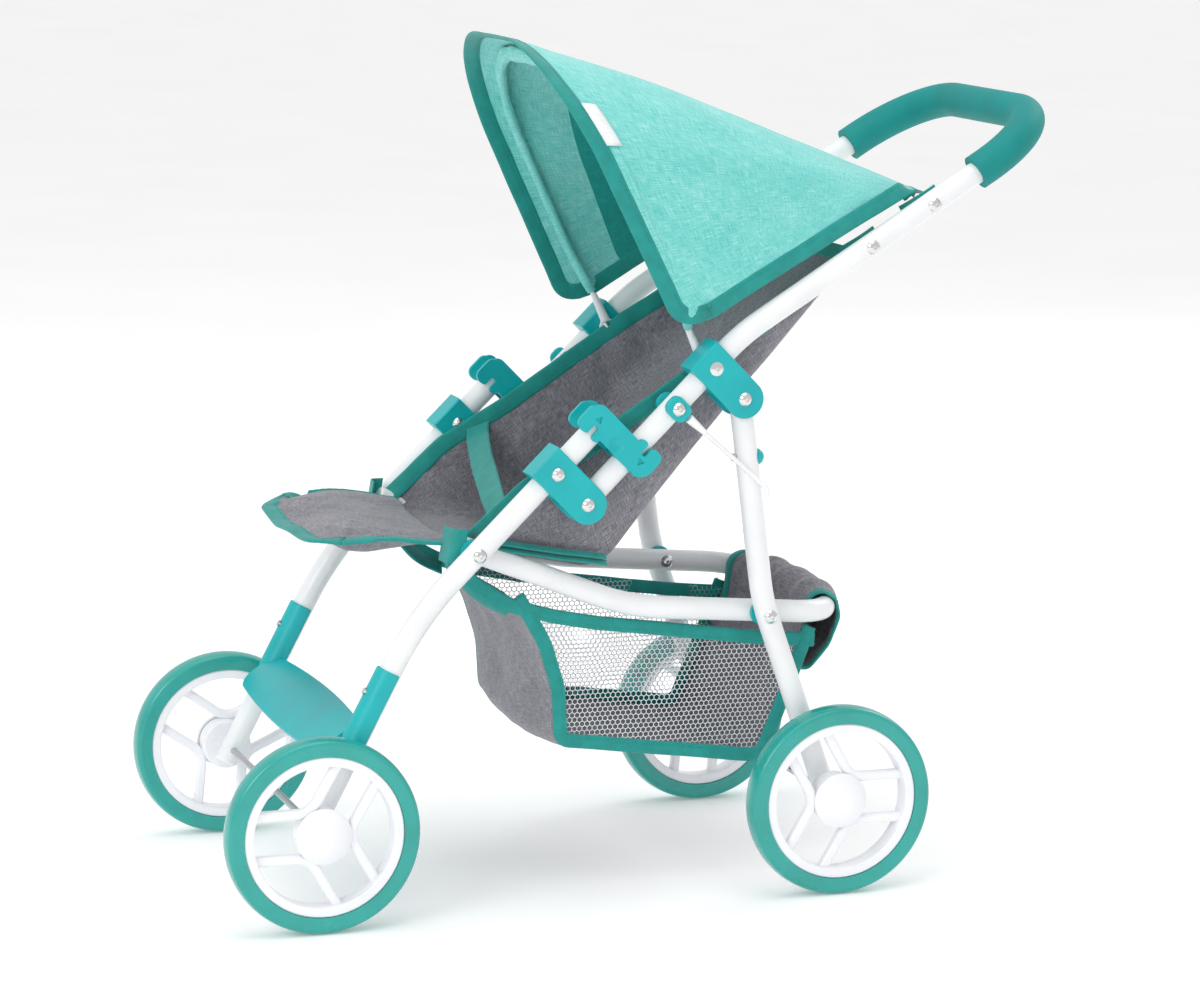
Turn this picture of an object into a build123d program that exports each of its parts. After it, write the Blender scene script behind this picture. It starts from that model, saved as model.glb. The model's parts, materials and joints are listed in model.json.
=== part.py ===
from build123d import *
import os
from math import atan2, cos, degrees, radians, sin, sqrt

# A folding doll stroller: four wheels, two front legs, two rear legs and one bent handle
# tube, joined on each side by a four-bar fold, with a seat sling, a hood and a basket.
# Millimetres, +Z up. It faces -Y, its left side is +X, and the origin is on the floor
# under the middle of its outer box. Side-view places are given as (distance behind the
# front axle, height above the floor), and behind() moves them to the origin.

# Wheels
WHEEL_R = 70.0
TYRE_INNER_R = 57.6
TYRE_WIDTH = 20.0
TYRE_SHOULDER_DROP = 2.0
TYRE_SIDE_DRAFT = 1.2
RIM_INNER_R = 50.5
RIM_WIDTH = 16.0
HUB_R = 18.5
HUB_DEPTH = 16.0
HUB_OUTWARD = 4.0
HUB_CAP_R = 20.0
HUB_CAP_HEIGHT = 8.0
HUB_CAP_WALL = 1.6
ARM_SECTION = (7.8, 7.2)
ARM_OFFSET = 16.0
WHEEL_X = 145.0
AXLE_R = 2.5
AXLE_NUT_R = 5.0
WHEELBASE = 388.0

# Frame tubes
TUBE_R = 8.25
TUBE_WALL = 1.2
FRAME_X = 120.0
BASKET_X = 100.0
TUBE_GAP = 32.0
PLATE_HALF_WIDTH = 14.0
PLATE_HALF_DEPTH = 11.7
TUBE_END = 9.0
SPACER_R = 9.0
SCREW_R = 1.6
RIVET_SOCKET_R = 1.5

# Fits
SNUG = 0.05
RUNNING = 0.08
CLEAR = 0.3

# Side view, as (distance behind the front axle, height)
FRONT_AXLE = (0.0, WHEEL_R)
REAR_AXLE = (WHEELBASE, WHEEL_R)
BASKET_PIVOT = (118.2, 258.9)
FOLD_PIVOT = (197.0, 292.5)
HOOD_PIVOT = (291.5, 387.0)
HANDLE_BEND = (314.4, 409.9)
HANDLE_BAR = (555.0, 562.0)
REAR_BEND = (335.0, 215.0)
REAR_JOIN = (339.0, 204.0)
BASKET_BEND = (240.0, 211.5)
BASKET_END = (403.0, 199.0)
HINGE_ANGLE = 45.0

# Handle, hood and soft goods
GRIP_R = 13.0
HANDLE_CORNER_R = 65.0
GRIP_START = 493.0
LENGTH_AHEAD = WHEEL_R
LENGTH_BEHIND = HANDLE_BAR[0] + GRIP_R
MIDDLE = (LENGTH_BEHIND - LENGTH_AHEAD) / 2
SEAT_HALF_WIDTH = 99.0
SEAT_FRONT_HALF_WIDTH = 88.0
CLOTH = 2.0
HOOD_HALF_WIDTH = 126.0
HOOD_CORNER_R = 95.0
HOOD_FRONT = (266.0, 391.0)
HOOD_LEAN = 115.0
HOOD_LOW = 14.0
HOOD_TOP = 247.0
HOOD_REAR = (452.0, 513.0)
HOOD_REAR_HALF_WIDTH = 110.5
BASKET_HALF_WIDTH = 92.0

PARTS = {}


def behind(point, x=0.0):
    """The space point for a side-view place, at x across the stroller."""
    return Vector(x, point[0] - MIDDLE, point[1])


def along(point, distance, angle):
    """The side-view place at a distance and an angle from another."""
    return (point[0] + distance * cos(radians(angle)), point[1] + distance * sin(radians(angle)))


def beyond(start, end, distance):
    """The side-view place a distance past end, on the line from start."""
    length = sqrt((end[0] - start[0]) ** 2 + (end[1] - start[1]) ** 2)
    scale = distance / length
    return (end[0] + (end[0] - start[0]) * scale, end[1] + (end[1] - start[1]) * scale)


def on_line(start, end, y):
    """The side-view place on a line, at a distance y behind the front axle."""
    return (y, start[1] + (end[1] - start[1]) * (y - start[0]) / (end[0] - start[0]))


def hinge_plane(point, angle=HINGE_ANGLE, x=FRAME_X):
    """Local x runs along the tube, local y across it in the side view, local z to the left."""
    direction = (0, cos(radians(angle)), sin(radians(angle)))
    return Plane(origin=behind(point, x), x_dir=direction, z_dir=(1, 0, 0))


def cross_pin(point, x_from, x_to, radius):
    """A plain round bar across the stroller."""
    bar = Cylinder(radius, x_to - x_from, rotation=(0, 90, 0))
    return Pos(*behind(point, (x_from + x_to) / 2)) * bar


def side_solid(points, x_from, x_to):
    """A side-view outline made solid from one x to another."""
    corners = [behind(p, x_from) for p in points]
    face = make_face(Polyline(*corners, close=True))
    return extrude(face, amount=x_to - x_from, dir=(1, 0, 0))


def tube(path, outer=TUBE_R, inner=TUBE_R - TUBE_WALL):
    """A round hollow tube along a path."""
    start = Plane(origin=path @ 0, z_dir=path % 0)
    return sweep(start * (Circle(outer) - Circle(inner)), path=path)


def plug(end, direction):
    """A domed plastic plug in a tube's open end."""
    bore = TUBE_R - TUBE_WALL - SNUG
    spigot = Cylinder(bore, 6, align=(Align.CENTER, Align.CENTER, Align.MAX))
    flange = Cylinder(TUBE_R, 2.4, align=(Align.CENTER, Align.CENTER, Align.MIN))
    flange = fillet(flange.edges().group_by(Axis.Z)[-1], 2)
    return Plane(origin=end, z_dir=direction) * (spigot + flange)


def rivet(point, x_from, x_to, radius=2.5, head=5.0, height=2.6):
    """A rivet across the tubes, with a domed head at each end."""
    ball_r = (head**2 + height**2) / (2 * height)
    dome = Sphere(ball_r) & Pos(0, 0, ball_r) * Box(4 * head, 4 * head, 2 * height)
    dome = Pos(0, 0, height - ball_r) * dome
    dome -= Pos(0, 0, height) * Cylinder(RIVET_SOCKET_R, 2)
    left = Plane(origin=behind(point, x_to), z_dir=(1, 0, 0)) * dome
    right = Plane(origin=behind(point, x_from), z_dir=(-1, 0, 0)) * dome
    return cross_pin(point, x_from, x_to, radius) + left + right


def half_rivet(point, x_plain, x_head, radius=2.5):
    """A rivet with one domed head, cut plain at its other end."""
    whole = rivet(point, min(x_plain, x_head), max(x_plain, x_head), radius)
    away = 1 if x_plain > x_head else -1
    return whole - cross_pin(point, *sorted((x_plain, x_plain + away * 8)), 9)


def both(shape):
    """A left-hand piece and its right-hand mirror, as separate solids."""
    return [shape, mirror(shape, about=Plane.YZ)]


def keep(name, *shapes):
    """Stores a node made of one or more separate solids."""
    PARTS[name] = shapes[0] if len(shapes) == 1 else Compound(children=list(shapes))


def keep_sides(name, shape):
    """Stores a left-hand node and its mirrored right-hand node."""
    left, right = both(shape)
    keep(f"{name}_left", left)
    keep(f"{name}_right", right)


# Frame tubes

LOCK_SHIFT = 48.0
LEG_UPPER_LENGTH = 139.6
LEG_PLATE = along(FOLD_PIVOT, TUBE_GAP, HINGE_ANGLE + 90)
LEG_BEND = along(LEG_PLATE, -LEG_UPPER_LENGTH, HINGE_ANGLE)
REAR_PIVOT = along(HOOD_PIVOT, TUBE_GAP, HINGE_ANGLE - 90)
LEG_END_LOW = beyond(LEG_BEND, FRONT_AXLE, TUBE_END)
LEG_END_TOP = along(LEG_PLATE, LOCK_SHIFT + 4, HINGE_ANGLE)
HANDLE_END = along(FOLD_PIVOT, -TUBE_END, HINGE_ANGLE)
REAR_END_TOP = beyond(REAR_BEND, REAR_PIVOT, TUBE_END)
REAR_END_LOW = beyond(REAR_BEND, REAR_AXLE, TUBE_END)
BASKET_END_FRONT = beyond(BASKET_BEND, BASKET_PIVOT, TUBE_END)
FABRIC_RIVETS = [on_line(HANDLE_BEND, HANDLE_BAR, y) for y in (411.0, 458.0)]
CATCH = on_line(REAR_PIVOT, REAR_BEND, 320.2)
STAY_PIVOT = along(FOLD_PIVOT, 94, HINGE_ANGLE)
LEG_LEAN = degrees(atan2(LEG_BEND[1] - FRONT_AXLE[1], LEG_BEND[0] - FRONT_AXLE[0]))


def front_leg():
    """The left front leg: steep at the wheel, then bent back to lie beside the handle tube."""
    path = FilletPolyline(*[behind(p, FRAME_X) for p in (LEG_END_LOW, LEG_BEND, LEG_END_TOP)], radius=240)
    leg = tube(path)
    for point in (FRONT_AXLE, BASKET_PIVOT, LEG_PLATE):
        leg -= cross_pin(point, FRAME_X - 12, FRAME_X + 12, AXLE_R + SNUG)
    return leg


def rear_leg():
    """The left rear leg, bent back below the basket."""
    path = FilletPolyline(*[behind(p, FRAME_X) for p in (REAR_END_TOP, REAR_BEND, REAR_END_LOW)], radius=160)
    leg = tube(path)
    leg -= cross_pin(REAR_PIVOT, FRAME_X - 12, FRAME_X + 12, AXLE_R + RUNNING)
    for point in (REAR_JOIN, REAR_AXLE):
        leg -= cross_pin(point, FRAME_X - 12, FRAME_X + 12, AXLE_R + SNUG)
    return leg - catch_screw(SNUG)


def handle_path(start, first_bend=None):
    """The centre line from one place on the left tube, round the push bar, to the right."""
    left = [behind(start, FRAME_X)]
    radii = []
    if first_bend:
        left.append(behind(first_bend, FRAME_X))
        radii.append(150)
    left.append(behind(HANDLE_BAR, FRAME_X))
    radii.append(HANDLE_CORNER_R)
    right = [Vector(-p.X, p.Y, p.Z) for p in reversed(left)]
    return FilletPolyline(*left, *right, radius=radii + radii[::-1])


def handle_tube():
    """One tube: both sides of the upper frame and the push bar."""
    body = tube(handle_path(HANDLE_END, HANDLE_BEND))
    holes = [(FOLD_PIVOT, RUNNING), (HOOD_PIVOT, SNUG), (STAY_PIVOT, SNUG)]
    holes += [(point, SNUG) for point in FABRIC_RIVETS]
    for point, gap in holes:
        for hole in both(cross_pin(point, FRAME_X - 12, FRAME_X + 12, AXLE_R + gap)):
            body -= hole
    return body


def handle_grip():
    """The foam sleeve on the push bar."""
    path = handle_path(on_line(HANDLE_BEND, HANDLE_BAR, GRIP_START))
    return tube(path, GRIP_R, TUBE_R + SNUG)


def basket_tube():
    """The U-shaped tube that carries the basket, pivoted on the front legs."""
    left = [behind(p, BASKET_X) for p in (BASKET_END_FRONT, BASKET_BEND, BASKET_END)]
    right = [Vector(-p.X, p.Y, p.Z) for p in reversed(left)]
    body = tube(FilletPolyline(*left, *right, radius=[180, 35, 35, 180]))
    for point, gap in ((BASKET_PIVOT, RUNNING), (REAR_JOIN, SNUG)):
        for hole in both(cross_pin(point, BASKET_X - 12, BASKET_X + 12, AXLE_R + gap)):
            body -= hole
    return body


def end_plug(near, end, x=FRAME_X):
    """The plug for the tube end at a side-view place, facing away from near."""
    tip = behind(end, x)
    return plug(tip, tip - behind(near, x))


# Hinge hardware


def hinge_plate(reach):
    """A moulded hinge: a block riveted round one tube and two cheeks that hold another's pivot.

    In the hinge plane, with the held tube at the middle and the pivot at local y = reach.
    """
    side = 1 if reach > 0 else -1
    outline = Pos(0, (reach - side * PLATE_HALF_WIDTH) / 2) * Rectangle(
        2 * PLATE_HALF_WIDTH, abs(reach) + PLATE_HALF_WIDTH
    )
    outline = outline + Pos(0, reach) * Circle(PLATE_HALF_WIDTH)
    block = extrude(outline, amount=PLATE_HALF_DEPTH, both=True)
    block = fillet(block.edges().group_by(Axis.Z)[-1] + block.edges().group_by(Axis.Z)[0], 1.4)
    slot_from = side * 11.0
    slot_length = 60.0
    slot = Box(60, slot_length, 2 * (TUBE_R + CLEAR))
    slot = Pos(0, slot_from + side * slot_length / 2, 0) * slot
    held = Cylinder(TUBE_R + SNUG, 60, rotation=(0, 90, 0))
    pins = Cylinder(AXLE_R + SNUG, 60) + Pos(0, reach, 0) * Cylinder(AXLE_R + SNUG, 60)
    return block - slot - held - pins


def lock_clip():
    """The sliding lock, in the hinge plane with the handle tube at the middle.

    A sleeve round the handle tube and two cheeks that take in the front leg's end, with a
    finger hook at each end of both cheeks.
    """
    middle = TUBE_GAP / 2
    body = RectangleRounded(20, 62, 6)
    for turn in (0, 180):
        hook = Pos(-3.5, 27) * RectangleRounded(21, 13, 6)
        notch = Pos(-10.5, 20.0) * RectangleRounded(12, 4.4, 1.8)
        lip = Pos(-9, 14.6) * RectangleRounded(9, 6.4, 2.6)
        body = body + Rot(0, 0, turn) * hook + Rot(0, 0, turn) * lip
        body = body - Rot(0, 0, turn) * notch
    block = Pos(0, middle, 0) * extrude(body, amount=PLATE_HALF_DEPTH, both=True)
    thumb_dish = Pos(-4, middle, PLATE_HALF_DEPTH + 7.5) * Sphere(9.5)
    wall_to = TUBE_R + 3.0
    slot = Pos(0, wall_to + 40, 0) * Box(60, 80, 2 * (TUBE_R + CLEAR))
    lower = Pos(0, -wall_to - 20, 0) * Box(60, 40, 2 * (TUBE_R - 2))
    bore = Cylinder(TUBE_R + RUNNING, 60, rotation=(0, 90, 0))
    pit = extrude(RegularPolygon(3.2, 3), amount=1.2, both=True)
    block -= Pos(0, middle + 22, PLATE_HALF_DEPTH) * pit
    block -= Pos(0, middle - 22, PLATE_HALF_DEPTH) * Rot(0, 0, 180) * pit
    return block - slot - lower - bore - thumb_dish


STAY_PLATE = RectangleRounded(15, 19, 6)


def stay_cap():
    """The moulded end of the stay wire, in the hinge plane at the stay's pivot."""
    plate = extrude(STAY_PLATE, amount=4.2)
    plate = fillet(plate.edges().group_by(Axis.Z)[-1], 1.5)
    plate = Pos(0, 0, TUBE_R + CLEAR) * plate
    return plate - Cylinder(AXLE_R + RUNNING, 60)


def stay_boss_plate():
    """The washer plate on the inner side of the handle tube, under the stay's screw."""
    plate = extrude(STAY_PLATE, amount=1.45, both=True)
    plate = hinge_plane(STAY_PIVOT) * Pos(0, 0, -TUBE_R - 1.5) * plate
    return plate - cross_pin(STAY_PIVOT, FRAME_X - 20, FRAME_X, AXLE_R + SNUG)


STAY_X = FRAME_X + TUBE_R + 3.2
STAY_R = 1.7
STAY_ANGLE = -41.0
STAY_TIP = along(STAY_PIVOT, 91, STAY_ANGLE)


def stay_wire():
    """The steel stay outside the rear leg, with a turned-down tip behind it."""
    start = along(STAY_PIVOT, 11, STAY_ANGLE)
    down = (STAY_TIP[0] + 0.5, STAY_TIP[1] - 6)
    points = [behind(p, STAY_X) for p in (start, STAY_TIP, down)]
    path = FilletPolyline(*points, radius=3.5)
    start_plane = Plane(origin=path @ 0, z_dir=path % 0)
    return sweep(start_plane * Circle(STAY_R), path=path)


def stay_sleeve():
    """The tapered sleeve where the stay wire leaves its moulded end."""
    start = along(STAY_PIVOT, 10.5, STAY_ANGLE)
    direction = Vector(0, cos(radians(STAY_ANGLE)), sin(radians(STAY_ANGLE)))
    cone = Cone(3.4, 2.1, 16, align=(Align.CENTER, Align.CENTER, Align.MIN))
    cone -= Cylinder(STAY_R + SNUG, 60)
    return Plane(origin=behind(start, STAY_X), z_dir=direction) * cone


def catch_screw(gap=0.0):
    """The screw through the rear leg that holds its small catch knob."""
    plane = Plane(origin=behind(CATCH, FRAME_X), z_dir=(0, 1, 0))
    shank = Cylinder(SCREW_R + gap, 20)
    head = Pos(0, 0, -10) * Cylinder(2.8 + gap, 2)
    return plane * (shank + head)


def catch_knob():
    """A half-round knob on the back of the rear leg."""
    ball = Sphere(6.2) & Pos(0, 0, 10) * Box(20, 20, 20)
    knob = Plane(origin=behind(CATCH, FRAME_X) + Vector(0, TUBE_R - 1.5, 0), z_dir=(0, 1, 0)) * ball
    around = Plane(origin=behind(CATCH, FRAME_X), z_dir=behind(REAR_PIVOT) - behind(REAR_BEND))
    return knob - around * Cylinder(TUBE_R + SNUG, 60) - catch_screw(SNUG)


def spacer(point, x_from=BASKET_X + TUBE_R + CLEAR, x_to=FRAME_X - TUBE_R - SNUG):
    """A moulded washer between a leg and the basket tube."""
    ring = cross_pin(point, x_from, x_to, SPACER_R)
    return ring - cross_pin(point, x_from - 1, x_to + 1, AXLE_R + RUNNING)


# Footrest between the front legs

SLEEVE_FROM = 31.0
SLEEVE_WALL = 2.2
SLEEVE_LENGTH = 56.0
SLEEVE_MIDDLE = 26.0
SCREW_HEIGHT = 34.0
STEP_EDGE = (0.0, 122.0)
STEP_TILT = 31.0
STEP_DEPTH = 46.0
STEP_THICKNESS = 3.0
STEP_CROWN_R = 60.0


def footrest_step():
    """The crowned step plate between the legs, sloping up and back to them."""
    tilt = radians(STEP_TILT)
    plane = Plane(origin=behind(STEP_EDGE), x_dir=(1, 0, 0), z_dir=(0, -sin(tilt), cos(tilt)))
    edge = FRAME_X - TUBE_R / 2
    rear = ThreePointArc((-edge, STEP_DEPTH - 6), (0, STEP_DEPTH), (edge, STEP_DEPTH - 6))
    front = ThreePointArc((edge, 5), (0, 0), (-edge, 5))
    outline = make_face(rear + Line(rear @ 1, front @ 0) + front + Line(front @ 1, rear @ 0))
    outline = fillet(outline.vertices().sort_by(Axis.Y)[:2], 12)
    crown = Cylinder(STEP_CROWN_R, 260) - Cylinder(STEP_CROWN_R - STEP_THICKNESS, 262)
    crown = Pos(0, STEP_DEPTH / 2, -STEP_CROWN_R) * Rot(0, 90, 0) * crown
    return plane * (extrude(outline, amount=12, both=True) & crown)


def leg_frame(side):
    """Local z runs up a front leg from the sleeve's base, and local y points back."""
    base = behind(on_line(FRONT_AXLE, LEG_BEND, SLEEVE_FROM), side * FRAME_X)
    leg_dir = Vector(0, cos(radians(LEG_LEAN)), sin(radians(LEG_LEAN)))
    return Plane(origin=base, x_dir=(1, 0, 0), z_dir=leg_dir)


def footrest():
    """The step plate, with a sleeve round each leg that stays open at the back."""
    body = footrest_step()
    for side in (1, -1):
        frame = leg_frame(side)
        shell = Pos(0, 0, SLEEVE_MIDDLE) * Cylinder(TUBE_R + SLEEVE_WALL, SLEEVE_LENGTH)
        shell = fillet(shell.edges().filter_by(GeomType.CIRCLE), 1.2)
        back = Pos(0, 24.5, SLEEVE_MIDDLE) * Box(60, 40, 90)
        body = body + frame * (shell - back)
        body = body - frame * Cylinder(TUBE_R + SNUG, 200)
        body = body - frame * (Pos(0, -TUBE_R, SCREW_HEIGHT) * Rot(90, 0, 0) * Cylinder(2.6, 12))
    return body


def footrest_screw(side):
    """One screw through the half sleeve into the leg's face."""
    head = Pos(0, -TUBE_R - SLEEVE_WALL, SCREW_HEIGHT) * Rot(90, 0, 0) * Cylinder(2.4, 3.0)
    return leg_frame(side) * head


# Wheels

HUB_FACE = HUB_DEPTH / 2 - HUB_OUTWARD
AXLE_HALF_LENGTH = WHEEL_X + HUB_FACE + 2.0


def tyre():
    """The glossy moulded tyre, with rounded shoulders."""
    half = TYRE_WIDTH / 2
    shoulder = WHEEL_R - TYRE_SHOULDER_DROP
    inside = half - TYRE_SIDE_DRAFT
    tread = ThreePointArc((shoulder, -half), (WHEEL_R, 0), (shoulder, half))
    sides = Polyline((shoulder, half), (TYRE_INNER_R, inside), (TYRE_INNER_R, -inside), (shoulder, -half))
    face = make_face(tread + sides)
    face = fillet(face.vertices().filter_by(lambda v: v.X > TYRE_INNER_R + 1), 3.5)
    return revolve(Plane.XZ * face, axis=Axis.Z)


def wheel_centre():
    """The moulded wheel: a deep rim ring, three V-shaped pairs of arms and the hub."""
    ring = Cylinder(TYRE_INNER_R - SNUG, RIM_WIDTH) - Cylinder(RIM_INNER_R, RIM_WIDTH + 2)
    ring = fillet(ring.edges().filter_by(GeomType.CIRCLE), 1.2)
    hub = Cylinder(HUB_R, HUB_DEPTH)
    hub = Pos(0, 0, -HUB_OUTWARD) * fillet(hub.edges().filter_by(GeomType.CIRCLE), 1.5)
    body = ring + hub
    vertex_r = ARM_OFFSET / sin(radians(60))
    rim_r = RIM_INNER_R + 2.5
    reach = -vertex_r / 2 + sqrt(rim_r**2 - 0.75 * vertex_r**2)
    for turn in (60, 180, 300):
        ends = [(vertex_r + reach * 0.5, side * reach * sin(radians(60))) for side in (1, -1)]
        path = FilletPolyline((*ends[0], 0), (vertex_r, 0, 0), (*ends[1], 0), radius=16)
        start = Plane(origin=path @ 0, x_dir=(0, 0, 1), z_dir=path % 0)
        arm = sweep(start * RectangleRounded(*ARM_SECTION, 2.5), path=path)
        body = body + Rot(0, 0, turn) * arm
    body = body - Cylinder(AXLE_R + RUNNING, 60)
    nut_pocket = Pos(0, 0, HUB_FACE) * Cylinder(AXLE_NUT_R + 2, 5)
    return body - nut_pocket


def hub_cap():
    """The smooth domed cap pressed over the hub."""
    ball_r = (HUB_CAP_R**2 + HUB_CAP_HEIGHT**2) / (2 * HUB_CAP_HEIGHT)
    ball_middle = Pos(0, 0, HUB_CAP_HEIGHT - ball_r)
    above = Pos(0, 0, 10) * Box(60, 60, 20)
    dome = ball_middle * Sphere(ball_r) & above
    hollow = ball_middle * Sphere(ball_r - HUB_CAP_WALL) & above
    skirt_depth = 2.0
    skirt = Pos(0, 0, -skirt_depth / 2) * Cylinder(HUB_CAP_R, skirt_depth)
    cap = dome + skirt - hollow - Pos(0, 0, -skirt_depth / 2) * Cylinder(HUB_R + SNUG, 2.2)
    return Pos(0, 0, HUB_FACE + 0.1 + skirt_depth) * cap


def wheel_place(point, side):
    """The location of a wheel, with local z pointing outwards."""
    return Plane(origin=behind(point, side * WHEEL_X), x_dir=(0, side, 0), z_dir=(side, 0, 0))


def axle_bushes(point):
    """The short bushes that keep the wheels clear of the legs."""
    inner = FRAME_X + TUBE_R + 0.1
    outer = WHEEL_X - HUB_OUTWARD - HUB_DEPTH / 2 - 0.15
    bush = cross_pin(point, inner, outer, AXLE_NUT_R) - cross_pin(point, inner - 1, outer + 1, AXLE_R + SNUG)
    return both(bush)


def axle_nuts(point):
    """The push-on nuts on the axle's ends, under the hub caps."""
    inner = WHEEL_X + HUB_FACE - 2.2
    nut = cross_pin(point, inner, inner + 2.4, AXLE_NUT_R)
    nut -= cross_pin(point, inner - 1, inner + 4, AXLE_R + SNUG)
    return both(nut)


# Hood

HOOD_PLANE = Plane(
    origin=behind(HOOD_FRONT),
    x_dir=(1, 0, 0),
    z_dir=(0, -sin(radians(HOOD_LEAN)), cos(radians(HOOD_LEAN))),
)


def arch(half_width, low, top, corner_r):
    """An upright arch outline: flat base, straight sides and a rounded top."""
    flat = half_width - corner_r
    shoulder = top - corner_r
    swing = corner_r * cos(radians(45))
    right = ThreePointArc((half_width, shoulder), (flat + swing, shoulder + swing), (flat, top))
    left = ThreePointArc((-flat, top), (-flat - swing, shoulder + swing), (-half_width, shoulder))
    return make_face(
        Line((-half_width, low), (half_width, low))
        + Line((half_width, low), (half_width, shoulder))
        + right
        + Line((flat, top), (-flat, top))
        + left
        + Line((-half_width, shoulder), (-half_width, low))
    )


def hood():
    """The hood as a thin shell, open at the front and below."""
    rear_plane = Plane(origin=behind(HOOD_REAR), x_dir=(1, 0, 0), z_dir=(0, -1, 0))
    front = HOOD_PLANE * arch(HOOD_HALF_WIDTH, HOOD_LOW, HOOD_TOP, HOOD_CORNER_R)
    rear = rear_plane * arch(HOOD_REAR_HALF_WIDTH, -4, 0, 3)
    outer = loft([front, rear], ruled=True)
    ahead = HOOD_PLANE.offset(2)
    past = rear_plane.offset(-2)
    front_in = ahead * arch(HOOD_HALF_WIDTH - CLOTH, -30, HOOD_TOP - CLOTH, HOOD_CORNER_R - CLOTH)
    rear_in = past * arch(HOOD_REAR_HALF_WIDTH - CLOTH, -40, -CLOTH - 1, 3)
    return outer - loft([front_in, rear_in], ruled=True)


BOW_ANGLE = 115.5
BOW_R = 1.8
BOW_EYE_X = 104.0
BOW_HALF_WIDTH = 119.0
BOW_TOP = 234.0


def bow_plane():
    """The plane that the hood's bow lies in: local x across, local y up the bow."""
    up = Vector(0, cos(radians(BOW_ANGLE)), sin(radians(BOW_ANGLE)))
    normal = Vector(1, 0, 0).cross(up)
    return Plane(origin=behind(HOOD_PIVOT), x_dir=(1, 0, 0), z_dir=normal)


def bow_wire():
    """The sprung wire hoop inside the hood's front edge."""
    left = [(BOW_EYE_X, 9), (BOW_EYE_X + 1.5, 26), (BOW_HALF_WIDTH, 62), (BOW_HALF_WIDTH, BOW_TOP)]
    radii = [30, 60, 88]
    right = [(-x, y) for x, y in reversed(left)]
    path = FilletPolyline(*left, *right, radius=radii + radii[::-1])
    path = bow_plane() * path
    start = Plane(origin=path @ 0, z_dir=path % 0)
    return sweep(start * Circle(BOW_R), path=path)


def bow_end():
    """The moulded eye and cone that join the bow to its pivot on the left."""
    up = Vector(0, cos(radians(BOW_ANGLE)), sin(radians(BOW_ANGLE)))
    eye = cross_pin(HOOD_PIVOT, BOW_EYE_X - 2, BOW_EYE_X + 2, 6.5)
    cone = Cone(3.6, 2.4, 22, align=(Align.CENTER, Align.CENTER, Align.MIN))
    cone = Plane(origin=behind(HOOD_PIVOT, BOW_EYE_X) + up * 6.2, z_dir=up) * cone
    body = eye + cone - cross_pin(HOOD_PIVOT, BOW_EYE_X - 9, BOW_EYE_X + 9, AXLE_R + RUNNING)
    return body - bow_wire()


# Seat and basket

WING_EDGE = [(110.0, 264.0), (156.0, 307.0), (207.0, 336.0)]
WING_BACK = [(302.0, 399.0), (331.0, 416.0), (404.0, 462.0)]
SEAT_CREASE = 219.0
SEAT_LOW = (SEAT_CREASE, 238.0)
SEAT_FRONT_LOW = (110.0, 256.0)
SEAT_TOP = (410.0, 464.0)
PANEL = 3.0


def trough(outline, inner, half_width):
    """A sling panel with a side wing on each side."""
    body = side_solid(outline, -half_width, half_width)
    return body - side_solid(inner, CLOTH - half_width, half_width - CLOTH)


def seat_base():
    """The seat's sitting part and the front of its wings."""
    low = (SEAT_CREASE - CLEAR, SEAT_LOW[1])
    top = (SEAT_CREASE - CLEAR, 343.5)
    outline = [SEAT_FRONT_LOW, low, top, *reversed(WING_EDGE)]
    ahead = (SEAT_FRONT_LOW[0] - 10, SEAT_FRONT_LOW[1] + PANEL + 1.7)
    inner = [ahead, (SEAT_CREASE + 10, SEAT_LOW[1] + PANEL - 1.7), (SEAT_CREASE + 10, 380.0), (100.0, 380.0)]
    return trough(outline, inner, SEAT_FRONT_HALF_WIDTH)


def seat_back():
    """The reclined back panel and the rear of the wings."""
    outline = [SEAT_LOW, SEAT_TOP, *reversed(WING_BACK), (SEAT_CREASE, 343.5)]
    lift = PANEL / cos(radians(50))
    inner = [
        (SEAT_LOW[0] - 10, SEAT_LOW[1] - 11.9 + lift),
        (SEAT_TOP[0] + 10, SEAT_TOP[1] + 11.9 + lift),
        (SEAT_TOP[0] + 10, 520.0),
        (SEAT_LOW[0] - 10, 520.0),
    ]
    return trough(outline, inner, SEAT_HALF_WIDTH)


def leg_flap():
    """The padded flap ahead of the seat."""
    outline = [(8.0, 262.0), (60.0, 260.0), (107.0, 254.0), (107.0, 261.0), (60.0, 268.0), (8.0, 270.0)]
    return side_solid(outline, -82, 82)


def lap_strap():
    """A flat strap across the seat, lower on the left."""
    right_end = behind((184.0, 308.0), -(SEAT_FRONT_HALF_WIDTH - CLOTH - CLEAR))
    left_end = behind((146.0, 286.0), SEAT_FRONT_HALF_WIDTH - CLOTH - CLEAR)
    path = Line(right_end, left_end)
    start = Plane(origin=path @ 0, x_dir=(0, 0.64, 0.77), z_dir=(1, 0, 0))
    return sweep(start * RectangleRounded(18, 1.6, 0.7), path=path)


BASKET_OUTLINE = [
    (154.0, 217.0),
    (174.0, 184.0),
    (185.0, 150.0),
    (189.0, 111.0),
    (350.0, 88.0),
    (374.0, 148.0),
    (388.0, 184.0),
]
BASKET_RIM = [(338.0, 186.0), (240.0, 196.0), (180.0, 207.0)]


def basket_bag():
    """The open basket: front, floor, rear and mesh sides."""
    outer = side_solid([*BASKET_OUTLINE, *BASKET_RIM], -BASKET_HALF_WIDTH, BASKET_HALF_WIDTH)
    front_in = [(y + CLOTH + 0.2, z) for y, z in BASKET_OUTLINE[:3]]
    floor_in = [(191.2, 113.0), (348.5, 90.2)]
    rear_in = [(y - CLOTH - 0.2, z) for y, z in BASKET_OUTLINE[5:]]
    above = [(388.0, 300.0), (150.0, 300.0)]
    inside = [*front_in, *floor_in, *rear_in, *above]
    return outer - side_solid(inside, CLOTH - BASKET_HALF_WIDTH, BASKET_HALF_WIDTH - CLOTH)


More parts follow.
